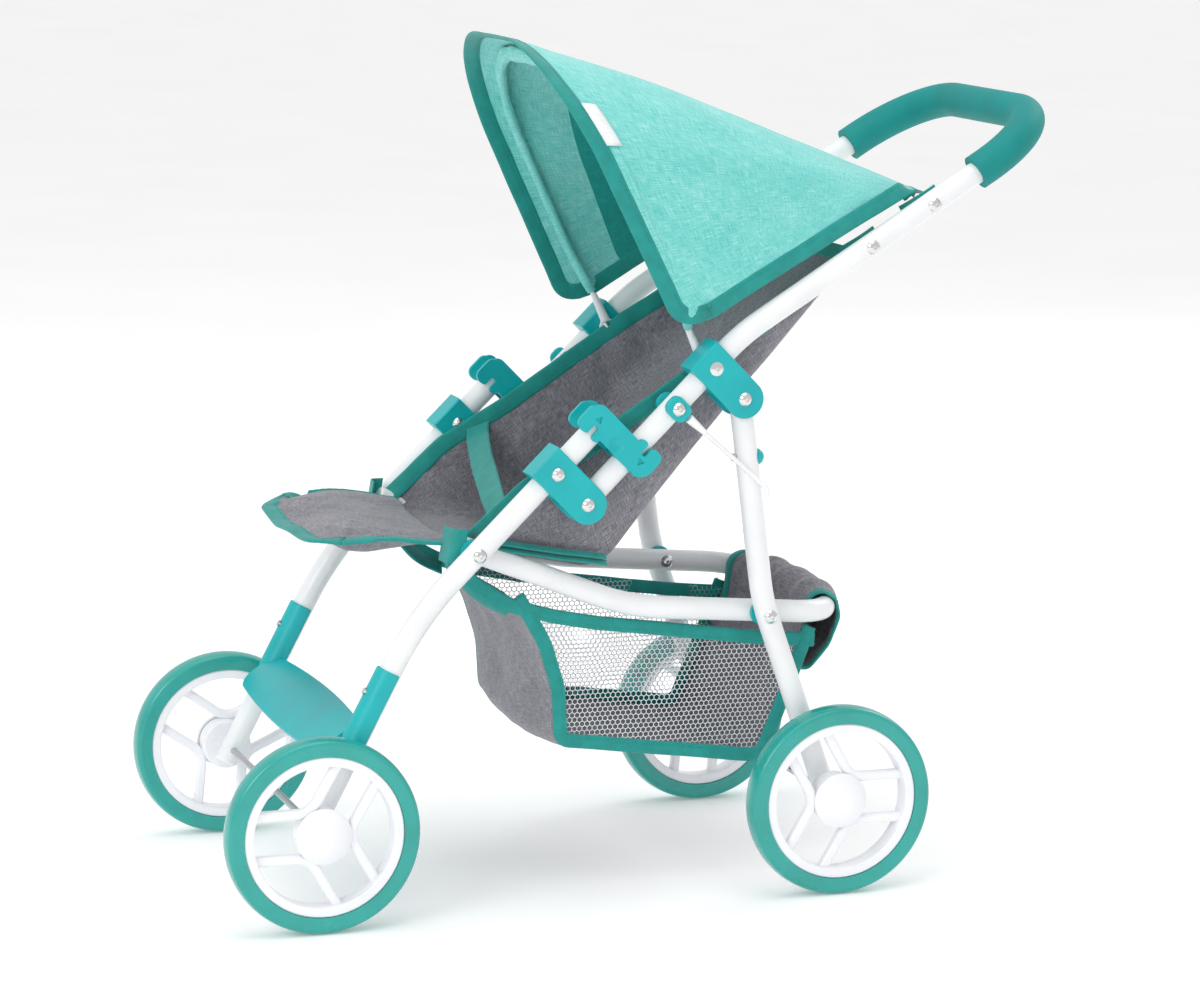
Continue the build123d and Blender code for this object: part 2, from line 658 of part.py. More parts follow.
CUFF_HALF_WIDTH = 60.0


def basket_cuff():
    """The cloth sleeve that hangs the basket's rear on the tube's cross piece."""
    sleeve = cross_pin(BASKET_END, -CUFF_HALF_WIDTH, CUFF_HALF_WIDTH, TUBE_R + CLOTH + CLEAR)
    drop = side_solid(
        [(403.5, 191.0), (412.5, 196.0), (402.0, 168.0), (390.5, 152.0), (388.0, 154.0)],
        -CUFF_HALF_WIDTH,
        CUFF_HALF_WIDTH,
    )
    return sleeve + drop - cross_pin(BASKET_END, -70, 70, TUBE_R + CLEAR)


def build():
    """Makes every node."""
    keep_sides("front_leg", front_leg())
    keep_sides("rear_leg", rear_leg())
    keep("handle_tube", handle_tube())
    keep("handle_grip", handle_grip())
    keep("basket_tube", basket_tube())

    low_end = end_plug(LEG_BEND, LEG_END_LOW)
    top_end = end_plug(LEG_PLATE, LEG_END_TOP)
    keep("front_leg_plugs", *both(low_end), *both(top_end))
    keep("handle_tube_plugs", *both(end_plug(HANDLE_BEND, HANDLE_END)))
    rear_ends = both(end_plug(REAR_BEND, REAR_END_TOP)) + both(end_plug(REAR_BEND, REAR_END_LOW))
    keep("rear_leg_plugs", *rear_ends)
    keep("basket_tube_plugs", *both(end_plug(BASKET_BEND, BASKET_END_FRONT, BASKET_X)))

    keep_sides("lower_hinge_plate", hinge_plane(LEG_PLATE) * hinge_plate(-TUBE_GAP))
    keep_sides("upper_hinge_plate", hinge_plane(HOOD_PIVOT) * hinge_plate(-TUBE_GAP))
    lock_place = along(FOLD_PIVOT, LOCK_SHIFT, HINGE_ANGLE)
    keep_sides("lock_clip", hinge_plane(lock_place) * lock_clip())

    plate_in = FRAME_X - PLATE_HALF_DEPTH
    plate_out = FRAME_X + PLATE_HALF_DEPTH
    tube_in = FRAME_X - TUBE_R
    tube_out = FRAME_X + TUBE_R
    fold_pins = [rivet(p, plate_in, plate_out) for p in (LEG_PLATE, FOLD_PIVOT)]
    fold_pins.append(rivet(BASKET_PIVOT, BASKET_X - TUBE_R - 0.4, tube_out))
    keep("front_frame_rivets", *[r for pin in fold_pins for r in both(pin)])
    hood_pin = rivet(HOOD_PIVOT, BOW_EYE_X - 2.4, plate_out, height=1.6)
    upper_pins = [hood_pin, rivet(REAR_PIVOT, plate_in, plate_out)]
    upper_pins += [rivet(p, tube_in, tube_out) for p in FABRIC_RIVETS]
    keep("handle_frame_rivets", *[r for pin in upper_pins for r in both(pin)])
    stay_pin = rivet(STAY_PIVOT, tube_in - 3.1, tube_out + CLEAR + 4.5)
    keep("stay_screws", *both(stay_pin))
    keep("stay_boss_plates", *both(stay_boss_plate()))
    keep("rear_leg_rivets", *both(half_rivet(REAR_JOIN, BASKET_X + TUBE_R + CLEAR, tube_out)))
    keep("basket_tube_rivets", *both(half_rivet(REAR_JOIN, BASKET_X + TUBE_R, BASKET_X - TUBE_R)))
    keep("rear_leg_spacers", *both(spacer(REAR_JOIN)))
    keep("front_leg_spacers", *both(spacer(BASKET_PIVOT)))
    keep("catch_knobs", *both(catch_knob()))
    keep("catch_screws", *both(catch_screw()))

    keep_sides("stay_cap", hinge_plane(STAY_PIVOT) * stay_cap())
    keep_sides("stay_wire", stay_wire())
    keep_sides("stay_sleeve", stay_sleeve())

    keep("footrest", footrest())
    keep("footrest_screws", footrest_screw(1), footrest_screw(-1))

    for end, point in (("front", FRONT_AXLE), ("rear", REAR_AXLE)):
        keep(f"{end}_axle", cross_pin(point, -AXLE_HALF_LENGTH, AXLE_HALF_LENGTH, AXLE_R))
        keep(f"{end}_axle_bushes", *axle_bushes(point), *axle_nuts(point))
    tyre_solid = tyre()
    centre_solid = wheel_centre()
    cap_solid = hub_cap()
    # the turn of each wheel where it came to rest
    turns = {("front", 1): 180, ("front", -1): 155, ("rear", 1): 0, ("rear", -1): 35}
    for (end, side), turn in turns.items():
        point = FRONT_AXLE if end == "front" else REAR_AXLE
        place = wheel_place(point, side) * Rot(0, 0, turn)
        name = f"{end}_{'left' if side > 0 else 'right'}"
        keep(f"{name}_tyre", place * tyre_solid)
        keep(f"{name}_wheel", place * centre_solid)
        keep(f"{name}_hub_cap", place * cap_solid)

    keep("hood_bow", bow_wire())
    keep("hood_bow_ends", *both(bow_end()))
    keep("hood", hood())
    keep("seat_base", seat_base())
    keep("seat_back", seat_back())
    keep("leg_flap", leg_flap())
    keep("lap_strap", lap_strap())
    keep("basket_bag", basket_bag())
    keep("basket_cuff", basket_cuff())


build()
os.makedirs("parts", exist_ok=True)
for name, shape in PARTS.items():
    export_step(shape, f"parts/{name}.step")
print(len(PARTS), "nodes")
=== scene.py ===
"""The finished look of a folding doll stroller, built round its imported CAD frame.

Every piece is placed in metres in the CAD frame. Side-view places are written in
millimetres, as (distance behind the front axle, height above the floor).
"""

import json
import logging
import math
from collections.abc import Callable, Sequence
from dataclasses import dataclass, field
from enum import Enum

import bpy
import numpy as np
from mathutils import Matrix, Vector, noise


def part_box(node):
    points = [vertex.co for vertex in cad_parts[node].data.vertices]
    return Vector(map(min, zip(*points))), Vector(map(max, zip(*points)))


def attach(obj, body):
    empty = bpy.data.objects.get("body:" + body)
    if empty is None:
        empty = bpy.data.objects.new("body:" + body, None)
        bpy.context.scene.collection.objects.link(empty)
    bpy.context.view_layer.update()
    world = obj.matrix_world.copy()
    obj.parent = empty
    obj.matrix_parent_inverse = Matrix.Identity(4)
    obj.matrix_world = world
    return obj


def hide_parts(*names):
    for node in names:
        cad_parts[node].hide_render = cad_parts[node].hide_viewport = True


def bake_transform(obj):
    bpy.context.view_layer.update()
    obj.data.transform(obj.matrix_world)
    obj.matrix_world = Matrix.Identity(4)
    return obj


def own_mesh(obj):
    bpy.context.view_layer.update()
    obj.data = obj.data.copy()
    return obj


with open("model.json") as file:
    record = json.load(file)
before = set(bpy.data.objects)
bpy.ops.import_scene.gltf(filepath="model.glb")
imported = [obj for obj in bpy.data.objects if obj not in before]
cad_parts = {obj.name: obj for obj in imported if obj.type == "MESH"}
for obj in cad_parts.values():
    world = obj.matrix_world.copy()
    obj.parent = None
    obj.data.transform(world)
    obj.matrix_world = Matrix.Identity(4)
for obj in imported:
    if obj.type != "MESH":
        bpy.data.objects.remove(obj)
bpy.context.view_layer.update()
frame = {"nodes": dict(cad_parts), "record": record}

LOG = logging.getLogger("doll_stroller")
MM = 0.001
AXLE_Y = (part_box("front_axle")[0][1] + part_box("front_axle")[1][1]) / 2

Place = tuple[float, float]
Surface = Callable[[float, float], np.ndarray]


# Small tools


def linear(code: str) -> tuple[float, float, float, float]:
    """Turn an sRGB hex colour to a linear one.

    Args:
        code: The colour as "#rrggbb".

    Returns:
        Linear red, green, blue and an alpha of 1.
    """
    parts = [int(code[i : i + 2], 16) / 255 for i in (1, 3, 5)]
    flat = [p / 12.92 if p <= 0.04045 else ((p + 0.055) / 1.055) ** 2.4 for p in parts]
    return (flat[0], flat[1], flat[2], 1.0)


def space(x: float, place: Place) -> np.ndarray:
    """A side-view place at x across the stroller, in metres in the CAD frame."""
    return np.array([x * MM, AXLE_Y + place[0] * MM, place[1] * MM])


def wobble(x: float, y: float, z: float, size: float) -> float:
    """Smooth fixed noise from -1 to 1, whose waves are about size millimetres long."""
    return noise.noise(Vector((x / size, y / size, z / size)))


def rounded(points: Sequence[Sequence[float]], radii: Sequence[float], steps: int = 8) -> np.ndarray:
    """Round the inner corners of an open path with arcs.

    Args:
        points: The path's corners.
        radii: One radius for each inner corner.
        steps: How many pieces each arc has.

    Returns:
        The rounded path's points, one row each.
    """
    corners = [np.array(p, float) for p in points]
    path = [corners[0]]
    for before, corner, after, radius in zip(corners, corners[1:], corners[2:], radii):
        to_before = before - corner
        to_after = after - corner
        room = 0.48 * min(np.linalg.norm(to_before), np.linalg.norm(to_after))
        to_before /= np.linalg.norm(to_before)
        to_after /= np.linalg.norm(to_after)
        half = math.acos(max(-1.0, min(1.0, float(to_before @ to_after)))) / 2
        cut = min(room, radius / math.tan(half)) if half > 1e-3 else room
        start = corner + to_before * cut
        reach = cut * math.tan(half)
        towards = to_before + to_after
        towards /= np.linalg.norm(towards) + 1e-12
        centre = corner + towards * math.hypot(cut, reach)
        for i in range(steps + 1):
            turn = (math.pi - 2 * half) * i / steps
            path.append(centre + (start - centre) * math.cos(turn) - to_before * reach * math.sin(turn))
    path.append(corners[-1])
    return np.array(path)


def spread(path: np.ndarray, count: int) -> np.ndarray:
    """Place a number of points evenly along a path."""
    steps = np.linalg.norm(np.diff(path, axis=0), axis=1)
    reach = np.concatenate([[0], np.cumsum(steps)])
    wanted = np.linspace(0, reach[-1], count)
    return np.stack([np.interp(wanted, reach, path[:, k]) for k in range(path.shape[1])], axis=1)


def on_path(path: np.ndarray, share: float) -> np.ndarray:
    """The point at a share of a path's length."""
    steps = np.linalg.norm(np.diff(path, axis=0), axis=1)
    reach = np.concatenate([[0], np.cumsum(steps)])
    wanted = share * reach[-1]
    return np.array([np.interp(wanted, reach, path[:, k]) for k in range(path.shape[1])])


def add_object(name: str, verts: Sequence, faces: Sequence, edges: Sequence = ()) -> bpy.types.Object:
    """Make a mesh object at the origin from points in metres."""
    mesh = bpy.data.meshes.new(name)
    mesh.from_pydata([tuple(v) for v in verts], list(edges), list(faces))
    mesh.validate()
    mesh.update()
    obj = bpy.data.objects.new(name, mesh)
    bpy.context.scene.collection.objects.link(obj)
    return obj


def smooth(obj: bpy.types.Object) -> None:
    """Shade every face smooth."""
    obj.data.polygons.foreach_set("use_smooth", [True] * len(obj.data.polygons))


def cut_size(outline: Sequence[Place]) -> tuple[Place, float]:
    """Measure a flat cut from one half of its outline.

    Args:
        outline: Places in mm, from the middle line at the front, round one side, to the middle
            line at the rear.

    Returns:
        The width and length of the rectangle that the whole cut fits in, and its area, in metres.
    """
    x, y = np.array(outline, float).T
    both_halves = abs(float(np.sum(x * np.roll(y, -1) - np.roll(x, -1) * y)))
    return (2 * float(np.ptp(x)) * MM, float(np.ptp(y)) * MM), both_halves * MM * MM


def line_length(points: np.ndarray) -> float:
    """The length of a line of places in mm, in metres."""
    return float(np.sum(np.linalg.norm(np.diff(points, axis=0), axis=1))) * MM


def sheet_grid(
    name: str, surface: Surface, across: int, along: int, size: Place, turned: bool = False
) -> bpy.types.Object:
    """Make a sheet of quads from a surface, with UVs in metres of cloth.

    Args:
        name: The object's name.
        surface: Gives a point in metres from two shares, across and along.
        across: Number of faces across.
        along: Number of faces along.
        size: The sheet's flat width and length in metres.
        turned: Whether the faces look the other way.

    Returns:
        The new object.
    """
    verts = [surface(i / across, j / along) for j in range(along + 1) for i in range(across + 1)]
    row = across + 1
    faces = [
        (j * row + i, (j + 1) * row + i, (j + 1) * row + i + 1, j * row + i + 1)
        for j in range(along)
        for i in range(across)
    ]
    if turned:
        faces = [tuple(reversed(face)) for face in faces]
    obj = add_object(name, verts, faces)
    layer = obj.data.uv_layers.new(name="cloth")
    for polygon in obj.data.polygons:
        for loop in polygon.loop_indices:
            index = obj.data.loops[loop].vertex_index
            layer.data[loop].uv = ((index % row) / across * size[0], (index // row) / along * size[1])
    smooth(obj)
    return obj


def thicken(obj: bpy.types.Object, thickness: float, lining: bool = False) -> None:
    """Give a sheet its thickness in metres, with a second material inside if it is lined."""
    solid = obj.modifiers.new("thickness", "SOLIDIFY")
    solid.thickness = thickness
    solid.offset = 0
    solid.material_offset = 1 if lining else 0


# Finishes


def add_node(
    tree: bpy.types.NodeTree, kind: str, settings: dict | None = None, inputs: dict | None = None
) -> bpy.types.Node:
    """Add a node with its settings, values and links.

    Args:
        tree: The tree to add to.
        kind: The node's type name.
        settings: Properties of the node.
        inputs: Socket name or number to a value, or to a socket to link from.

    Returns:
        The new node.
    """
    node = tree.nodes.new(kind)
    for key, value in (settings or {}).items():
        setattr(node, key, value)
    for key, value in (inputs or {}).items():
        if isinstance(value, bpy.types.NodeSocket):
            tree.links.new(value, node.inputs[key])
        else:
            node.inputs[key].default_value = value
    return node


def ramp(
    tree: bpy.types.NodeTree, source: bpy.types.NodeSocket, stops: Sequence[tuple[float, str]]
) -> bpy.types.NodeSocket:
    """Add a colour ramp from sRGB hex stops and return its colour socket.

    Args:
        tree: The tree to add to.
        source: The number that picks the colour.
        stops: Places from 0 to 1, each with its sRGB hex colour.

    Returns:
        The colour socket.
    """
    node = add_node(tree, "ShaderNodeValToRGB", inputs={"Fac": source})
    elements = node.color_ramp.elements
    while len(elements) < len(stops):
        elements.new(0.5)
    for element, (place, code) in zip(elements, stops):
        element.position = place
        element.color = linear(code)
    return node.outputs["Color"]


def new_material(name: str) -> tuple[bpy.types.Material, bpy.types.NodeTree, bpy.types.Node]:
    """Make a material with one Principled shader, and return it with its tree and shader."""
    material = bpy.data.materials.new(name)
    material.use_nodes = True
    tree = material.node_tree
    tree.nodes.clear()
    shader = add_node(tree, "ShaderNodeBsdfPrincipled")
    add_node(tree, "ShaderNodeOutputMaterial", inputs={"Surface": shader.outputs["BSDF"]})
    return material, tree, shader


@dataclass(frozen=True)
class Moulded:
    """A moulded or coated solid surface with a fine grain."""

    name: str
    colour: str
    shade: str
    roughness: float
    grain_mm: float
    grain_depth: float
    ior: float = 1.46
    coat: float = 0.0

    def make(self) -> bpy.types.Material:
        """Build the material.

        Returns:
            The material.
        """
        material, tree, shader = new_material(self.name)
        where = add_node(tree, "ShaderNodeTexCoord").outputs["Object"]
        clouds = add_node(
            tree, "ShaderNodeTexNoise", inputs={"Vector": where, "Scale": 1 / (40 * MM), "Detail": 3.0}
        )
        tint = ramp(tree, clouds.outputs["Fac"], [(0.3, self.shade), (0.65, self.colour)])
        tree.links.new(tint, shader.inputs["Base Color"])
        grain = add_node(
            tree,
            "ShaderNodeTexNoise",
            inputs={"Vector": where, "Scale": 1 / (self.grain_mm * MM), "Detail": 2.0},
        )
        rough = add_node(
            tree,
            "ShaderNodeMapRange",
            inputs={
                "Value": clouds.outputs["Fac"],
                "From Min": 0.3,
                "From Max": 0.7,
                "To Min": self.roughness - 0.04,
                "To Max": self.roughness + 0.05,
            },
        )
        tree.links.new(rough.outputs["Result"], shader.inputs["Roughness"])
        bump = add_node(
            tree,
            "ShaderNodeBump",
            inputs={"Height": grain.outputs["Fac"], "Strength": 0.5, "Distance": self.grain_depth * MM},
        )
        tree.links.new(bump.outputs["Normal"], shader.inputs["Normal"])
        shader.inputs["IOR"].default_value = self.ior
        shader.inputs["Coat Weight"].default_value = self.coat
        shader.inputs["Coat Roughness"].default_value = 0.12
        return material


@dataclass(frozen=True)
class Metal:
    """A bare or plated metal with fine directional marks."""

    name: str
    colour: str
    roughness: float
    mark_mm: float

    def make(self) -> bpy.types.Material:
        """Build the material.

        Returns:
            The material.
        """
        material, tree, shader = new_material(self.name)
        where = add_node(tree, "ShaderNodeTexCoord").outputs["Object"]
        marks = add_node(
            tree,
            "ShaderNodeTexNoise",
            inputs={"Vector": where, "Scale": 1 / (self.mark_mm * MM), "Detail": 4.0},
        )
        rough = add_node(
            tree,
            "ShaderNodeMapRange",
            inputs={
                "Value": marks.outputs["Fac"],
                "To Min": self.roughness * 0.6,
                "To Max": self.roughness * 1.5,
            },
        )
        tree.links.new(rough.outputs["Result"], shader.inputs["Roughness"])
        shader.inputs["Base Color"].default_value = linear(self.colour)
        shader.inputs["Metallic"].default_value = 1.0
        return material


@dataclass(frozen=True)
class Woven:
    """A plain weave whose threads differ in colour, as in chambray and melange cloth.

    The real threads are about 0.3 mm apart, too fine to show, so they are drawn at
    thread_mm. Slubs are the thicker and lighter stretches of single threads.
    """

    name: str
    dark: str
    middle: str
    light: str
    thread_mm: float = 0.8
    slub_mm: float = 14.0
    roughness: float = 0.86
    sheen: float = 0.25

    def make(self) -> bpy.types.Material:
        """Build the material.

        Returns:
            The material.
        """
        material, tree, shader = new_material(self.name)
        cloth = add_node(tree, "ShaderNodeTexCoord").outputs["UV"]
        thread = 1 / (self.thread_mm * MM)
        slub = 1 / (self.slub_mm * MM)
        threads = []
        for scale in ((thread, slub, 1.0), (slub, thread, 1.0)):
            stretched = add_node(tree, "ShaderNodeMapping", inputs={"Vector": cloth, "Scale": scale})
            threads.append(
                add_node(
                    tree,
                    "ShaderNodeTexNoise",
                    inputs={"Vector": stretched.outputs["Vector"], "Scale": 1.0, "Detail": 2.0},
                ).outputs["Fac"]
            )
        both = add_node(
            tree, "ShaderNodeMath", {"operation": "ADD"}, {0: threads[0], 1: threads[1]}
        ).outputs["Value"]
        clouds = add_node(
            tree, "ShaderNodeTexNoise", inputs={"Vector": cloth, "Scale": 1 / (55 * MM), "Detail": 4.0}
        ).outputs["Fac"]
        tone = add_node(
            tree, "ShaderNodeMath", {"operation": "MULTIPLY_ADD"}, {0: clouds, 1: 0.35, 2: both}
        ).outputs["Value"]
        fibre = add_node(
            tree,
            "ShaderNodeMapRange",
            inputs={"Value": tone, "From Min": 0.88, "From Max": 1.47},
        ).outputs["Result"]
        colour = ramp(tree, fibre, [(0.0, self.dark), (0.5, self.middle), (1.0, self.light)])
        tree.links.new(colour, shader.inputs["Base Color"])
        parts = add_node(tree, "ShaderNodeSeparateXYZ", inputs={"Vector": cloth})
        waves = []
        for socket in (parts.outputs["X"], parts.outputs["Y"]):
            turn = add_node(
                tree, "ShaderNodeMath", {"operation": "MULTIPLY"}, {0: socket, 1: math.pi * thread}
            )
            waves.append(add_node(tree, "ShaderNodeMath", {"operation": "SINE"}, {0: turn.outputs["Value"]}))
        over = add_node(
            tree,
            "ShaderNodeMath",
            {"operation": "MULTIPLY"},
            {0: waves[0].outputs["Value"], 1: waves[1].outputs["Value"]},
        )
        height = add_node(
            tree, "ShaderNodeMath", {"operation": "ADD"}, {0: over.outputs["Value"], 1: both}
        ).outputs["Value"]
        bump = add_node(
            tree, "ShaderNodeBump", inputs={"Height": height, "Strength": 0.45, "Distance": 0.12 * MM}
        )
        tree.links.new(bump.outputs["Normal"], shader.inputs["Normal"])
        shader.inputs["Roughness"].default_value = self.roughness
        shader.inputs["Sheen Weight"].default_value = self.sheen
        shader.inputs["Sheen Roughness"].default_value = 0.5
        return material


@dataclass(frozen=True)
class RibbedTape:
    """A woven polyester tape with fine cross ribs, as used to bind an edge."""

    name: str
    colour: str
    shade: str
    rib_mm: float = 1.1

    def make(self) -> bpy.types.Material:
        """Build the material.

        Returns:
            The material.
        """
        material, tree, shader = new_material(self.name)
        cloth = add_node(tree, "ShaderNodeTexCoord").outputs["UV"]
        parts = add_node(tree, "ShaderNodeSeparateXYZ", inputs={"Vector": cloth})
        turn = add_node(
            tree,
            "ShaderNodeMath",
            {"operation": "MULTIPLY"},
            {0: parts.outputs["X"], 1: 2 * math.pi / (self.rib_mm * MM)},
        )
        ribs = add_node(tree, "ShaderNodeMath", {"operation": "SINE"}, {0: turn.outputs["Value"]})
        clouds = add_node(
            tree, "ShaderNodeTexNoise", inputs={"Vector": cloth, "Scale": 1 / (12 * MM), "Detail": 4.0}
        )
        # painted shade: the rib wave darkens the colour in the troughs between ribs and lightens the crests;
        # the noise adds random tone
        painted_rib_shade_and_tone = add_node(
            tree,
            "ShaderNodeMath",
            {"operation": "MULTIPLY_ADD"},
            {0: ribs.outputs["Value"], 1: 0.12, 2: clouds.outputs["Fac"]},
        )
        colour = ramp(tree, painted_rib_shade_and_tone.outputs["Value"], [(0.3, self.shade), (0.7, self.colour)])
        tree.links.new(colour, shader.inputs["Base Color"])
        bump = add_node(
            tree,
            "ShaderNodeBump",
            inputs={"Height": ribs.outputs["Value"], "Strength": 0.3, "Distance": 0.1 * MM},
        )
        tree.links.new(bump.outputs["Normal"], shader.inputs["Normal"])
        shader.inputs["Roughness"].default_value = 0.7
        shader.inputs["Sheen Weight"].default_value = 0.2
        return material


class Finish(Enum):
    """Every finish on the stroller."""

    # polyester powder coat on steel tube: soft white gloss with a slight orange peel
    TUBE = Moulded("powder_coated_steel", "#f1f2f3", "#e9eaec", 0.3, 1.6, 0.03, coat=0.2)
    # injection-moulded polypropylene: even colour with a satin sheen
    TEAL = Moulded("moulded_polypropylene_teal", "#06b4b8", "#04a9ae", 0.36, 0.6, 0.02, ior=1.49)
    # the same plastic in white, slightly see-through at its thin edges
    WHITE = Moulded("moulded_polypropylene_white", "#f4f4f6", "#eceef0", 0.34, 0.8, 0.02, ior=1.49)
    # white wheel centres, a little glossier
    WHEEL = Moulded("moulded_wheel_centre_white", "#f6f6fa", "#eff0f4", 0.3, 0.9, 0.02, ior=1.49)
    # glossy moulded PVC tyre: deep colour with clean highlights
    TYRE = Moulded("moulded_pvc_tyre_teal", "#1fa59c", "#18998f", 0.24, 1.2, 0.03, ior=1.54, coat=0.25)
    # closed-cell EVA foam: dull, with fine pores
    FOAM = Moulded("eva_foam_teal", "#0b8e8b", "#08837f", 0.62, 0.9, 0.12, ior=1.4)
    # bright nickel plate: small mirror-like domes
    NICKEL = Metal("nickel_plated_rivet", "#dcdcdc", 0.14, 2.0)
    # drawn zinc-plated rod: a soft grey metal
    STEEL = Metal("drawn_steel_rod", "#b9bcc0", 0.28, 1.0)
    # mint chambray: pale and mid threads give a clouded look
    MINT = Woven("chambray_cotton_mint", "#4fbdb6", "#74d0ca", "#a2e2dd")
    # the hood's lining, the darker teal of the same cloth
    LINING = Woven("lining_polyester_teal", "#06807b", "#0a938d", "#1aa29c", sheen=0.15)
    # grey melange: dark and light fibres side by side
    GREY = Woven("melange_polyester_grey", "#5d5c64", "#7f7d85", "#a6a4ab", thread_mm=0.7, slub_mm=9.0)
    # teal woven binding with fine ribs, with painted shade in the troughs between ribs
    BINDING = RibbedTape("woven_binding_tape_teal", "#089891", "#05867f")
    # polyester thread, a shade lighter than the tape
    THREAD = Moulded("polyester_thread_teal", "#12a39c", "#0c918b", 0.6, 0.4, 0.02)
    # white warp-knit net threads
    NET = Moulded("warp_knit_net_white", "#e9ebee", "#dcdfe3", 0.55, 0.4, 0.02)
    # satin-woven blank tag
    TAG = Woven("satin_tag_white", "#dfe6e6", "#eef2f2", "#ffffff", thread_mm=0.5, sheen=0.4)

    def material(self) -> bpy.types.Material:
        """This finish's material, made on first use."""
        return bpy.data.materials.get(self.value.name) or self.value.make()


def dress(obj: bpy.types.Object, *finishes: Finish) -> None:
    """Give a new piece its materials."""
    for finish in finishes:
        obj.data.materials.append(finish.material())


# Geometry Nodes


class Repeats:
    """Node trees that turn guide lines into stitches or threads."""

    @staticmethod
    def _tree(name: str, sizes: Sequence[str]) -> bpy.types.NodeTree:
        """A tree with geometry in and out, named sizes and a material."""
        tree = bpy.data.node_groups.new(name, "GeometryNodeTree")
        tree.interface.new_socket("Guide", in_out="INPUT", socket_type="NodeSocketGeometry")
        for size in sizes:
            tree.interface.new_socket(size, in_out="INPUT", socket_type="NodeSocketFloat")
        tree.interface.new_socket("Finish", in_out="INPUT", socket_type="NodeSocketMaterial")
        tree.interface.new_socket("Result", in_out="OUTPUT", socket_type="NodeSocketGeometry")
        return tree

    @staticmethod
    def _close(tree: bpy.types.NodeTree, source: bpy.types.NodeSocket, start: bpy.types.Node) -> None:
        """End a tree in Realize Instances and Set Material."""
        real = add_node(tree, "GeometryNodeRealizeInstances", inputs={"Geometry": source})
        painted = add_node(
            tree,
            "GeometryNodeSetMaterial",
            inputs={"Geometry": real.outputs["Geometry"], "Material": start.outputs["Finish"]},
        )
        add_node(tree, "NodeGroupOutput", inputs={"Result": painted.outputs["Geometry"]})

    @classmethod
    def stitches(cls) -> bpy.types.NodeTree:
        """Short thread stitches laid end to end along the guides.

        Returns:
            The tree.
        """
        found = bpy.data.node_groups.get("stitch_run")
        if found:
            return found
        tree = cls._tree("stitch_run", ["Pitch", "Stitch length", "Thread radius"])
        start = add_node(tree, "NodeGroupInput")
        lines = add_node(tree, "GeometryNodeMeshToCurve", inputs={"Mesh": start.outputs["Guide"]})
        places = add_node(
            tree,
            "GeometryNodeResampleCurve",
            {"mode": "LENGTH"},
            {"Curve": lines.outputs["Curve"], "Length": start.outputs["Pitch"]},
        )
        tangent = add_node(tree, "GeometryNodeInputTangent")
        turn = add_node(
            tree, "FunctionNodeAlignRotationToVector", {"axis": "Z"}, {"Vector": tangent.outputs["Tangent"]}
        )
        stitch = add_node(
            tree,
            "GeometryNodeMeshCylinder",
            inputs={
                "Vertices": 6,
                "Radius": start.outputs["Thread radius"],
                "Depth": start.outputs["Stitch length"],
            },
        )
        placed = add_node(
            tree,
            "GeometryNodeInstanceOnPoints",
            inputs={
                "Points": places.outputs["Curve"],
                "Instance": stitch.outputs["Mesh"],
                "Rotation": turn.outputs["Rotation"],
            },
        )
        cls._close(tree, placed.outputs["Instances"], start)
        return tree

    @classmethod
    def threads(cls) -> bpy.types.NodeTree:
        """Round threads along every edge of the guide.

        Returns:
            The tree.
        """
        found = bpy.data.node_groups.get("thread_net")
        if found:
            return found
        tree = cls._tree("thread_net", ["Thread radius"])
        start = add_node(tree, "NodeGroupInput")
        lines = add_node(tree, "GeometryNodeMeshToCurve", inputs={"Mesh": start.outputs["Guide"]})
        ring = add_node(
            tree,
            "GeometryNodeCurvePrimitiveCircle",
            inputs={"Resolution": 4, "Radius": start.outputs["Thread radius"]},
        )
        tubes = add_node(
            tree,
            "GeometryNodeCurveToMesh",
            inputs={
                "Curve": lines.outputs["Curve"],
                "Profile Curve": ring.outputs["Curve"],
                "Fill Caps": True,
            },
        )
        cls._close(tree, tubes.outputs["Mesh"], start)
        return tree

    @staticmethod
    def grow(
        guide: bpy.types.Object, tree: bpy.types.NodeTree, values: dict, finish: Finish
    ) -> bpy.types.Object:
        """Run a tree on a guide object and keep the result as its plain mesh.

        Args:
            guide: The object whose edges are the guide lines.
            tree: The node tree.
            values: Named sizes in metres.
            finish: The result's finish.

        Returns:
            The same object, with the grown mesh.
        """
        modifier = guide.modifiers.new("grow", "NODES")
        modifier.node_group = tree
        wanted = dict(values, Finish=finish.material())
        for item in tree.interface.items_tree:
            if item.in_out == "INPUT" and item.name in wanted:
                modifier[item.identifier] = wanted[item.name]
        bpy.context.view_layer.update()
        graph = bpy.context.evaluated_depsgraph_get()
        mesh = bpy.data.meshes.new_from_object(guide.evaluated_get(graph))
        guide.modifiers.remove(modifier)
        old = guide.data
        guide.data = mesh
        bpy.data.meshes.remove(old)
        if not guide.data.materials:
            guide.data.materials.append(finish.material())
        return guide


def guide_lines(name: str, lines: Sequence[np.ndarray]) -> bpy.types.Object:
    """A mesh of edges only, one chain for each line of points in metres."""
    verts: list[np.ndarray] = []
    edges: list[tuple[int, int]] = []
    for line in lines:
        first = len(verts)
        verts.extend(line)
        edges.extend((first + i, first + i + 1) for i in range(len(line) - 1))
    return add_object(name, verts, [], edges)


@dataclass
class Stitching:
    """Rows of stitches on one piece."""

    pitch: float = 3.2 * MM
    length: float = 2.3 * MM
    radius: float = 0.28 * MM

    def sew(self, name: str, lines: Sequence[np.ndarray]) -> bpy.types.Object:
        """Make the stitches along lines of points."""
        sizes = {"Pitch": self.pitch, "Stitch length": self.length, "Thread radius": self.radius}
        return Repeats.grow(guide_lines(name, lines), Repeats.stitches(), sizes, Finish.THREAD)


# Edge binding


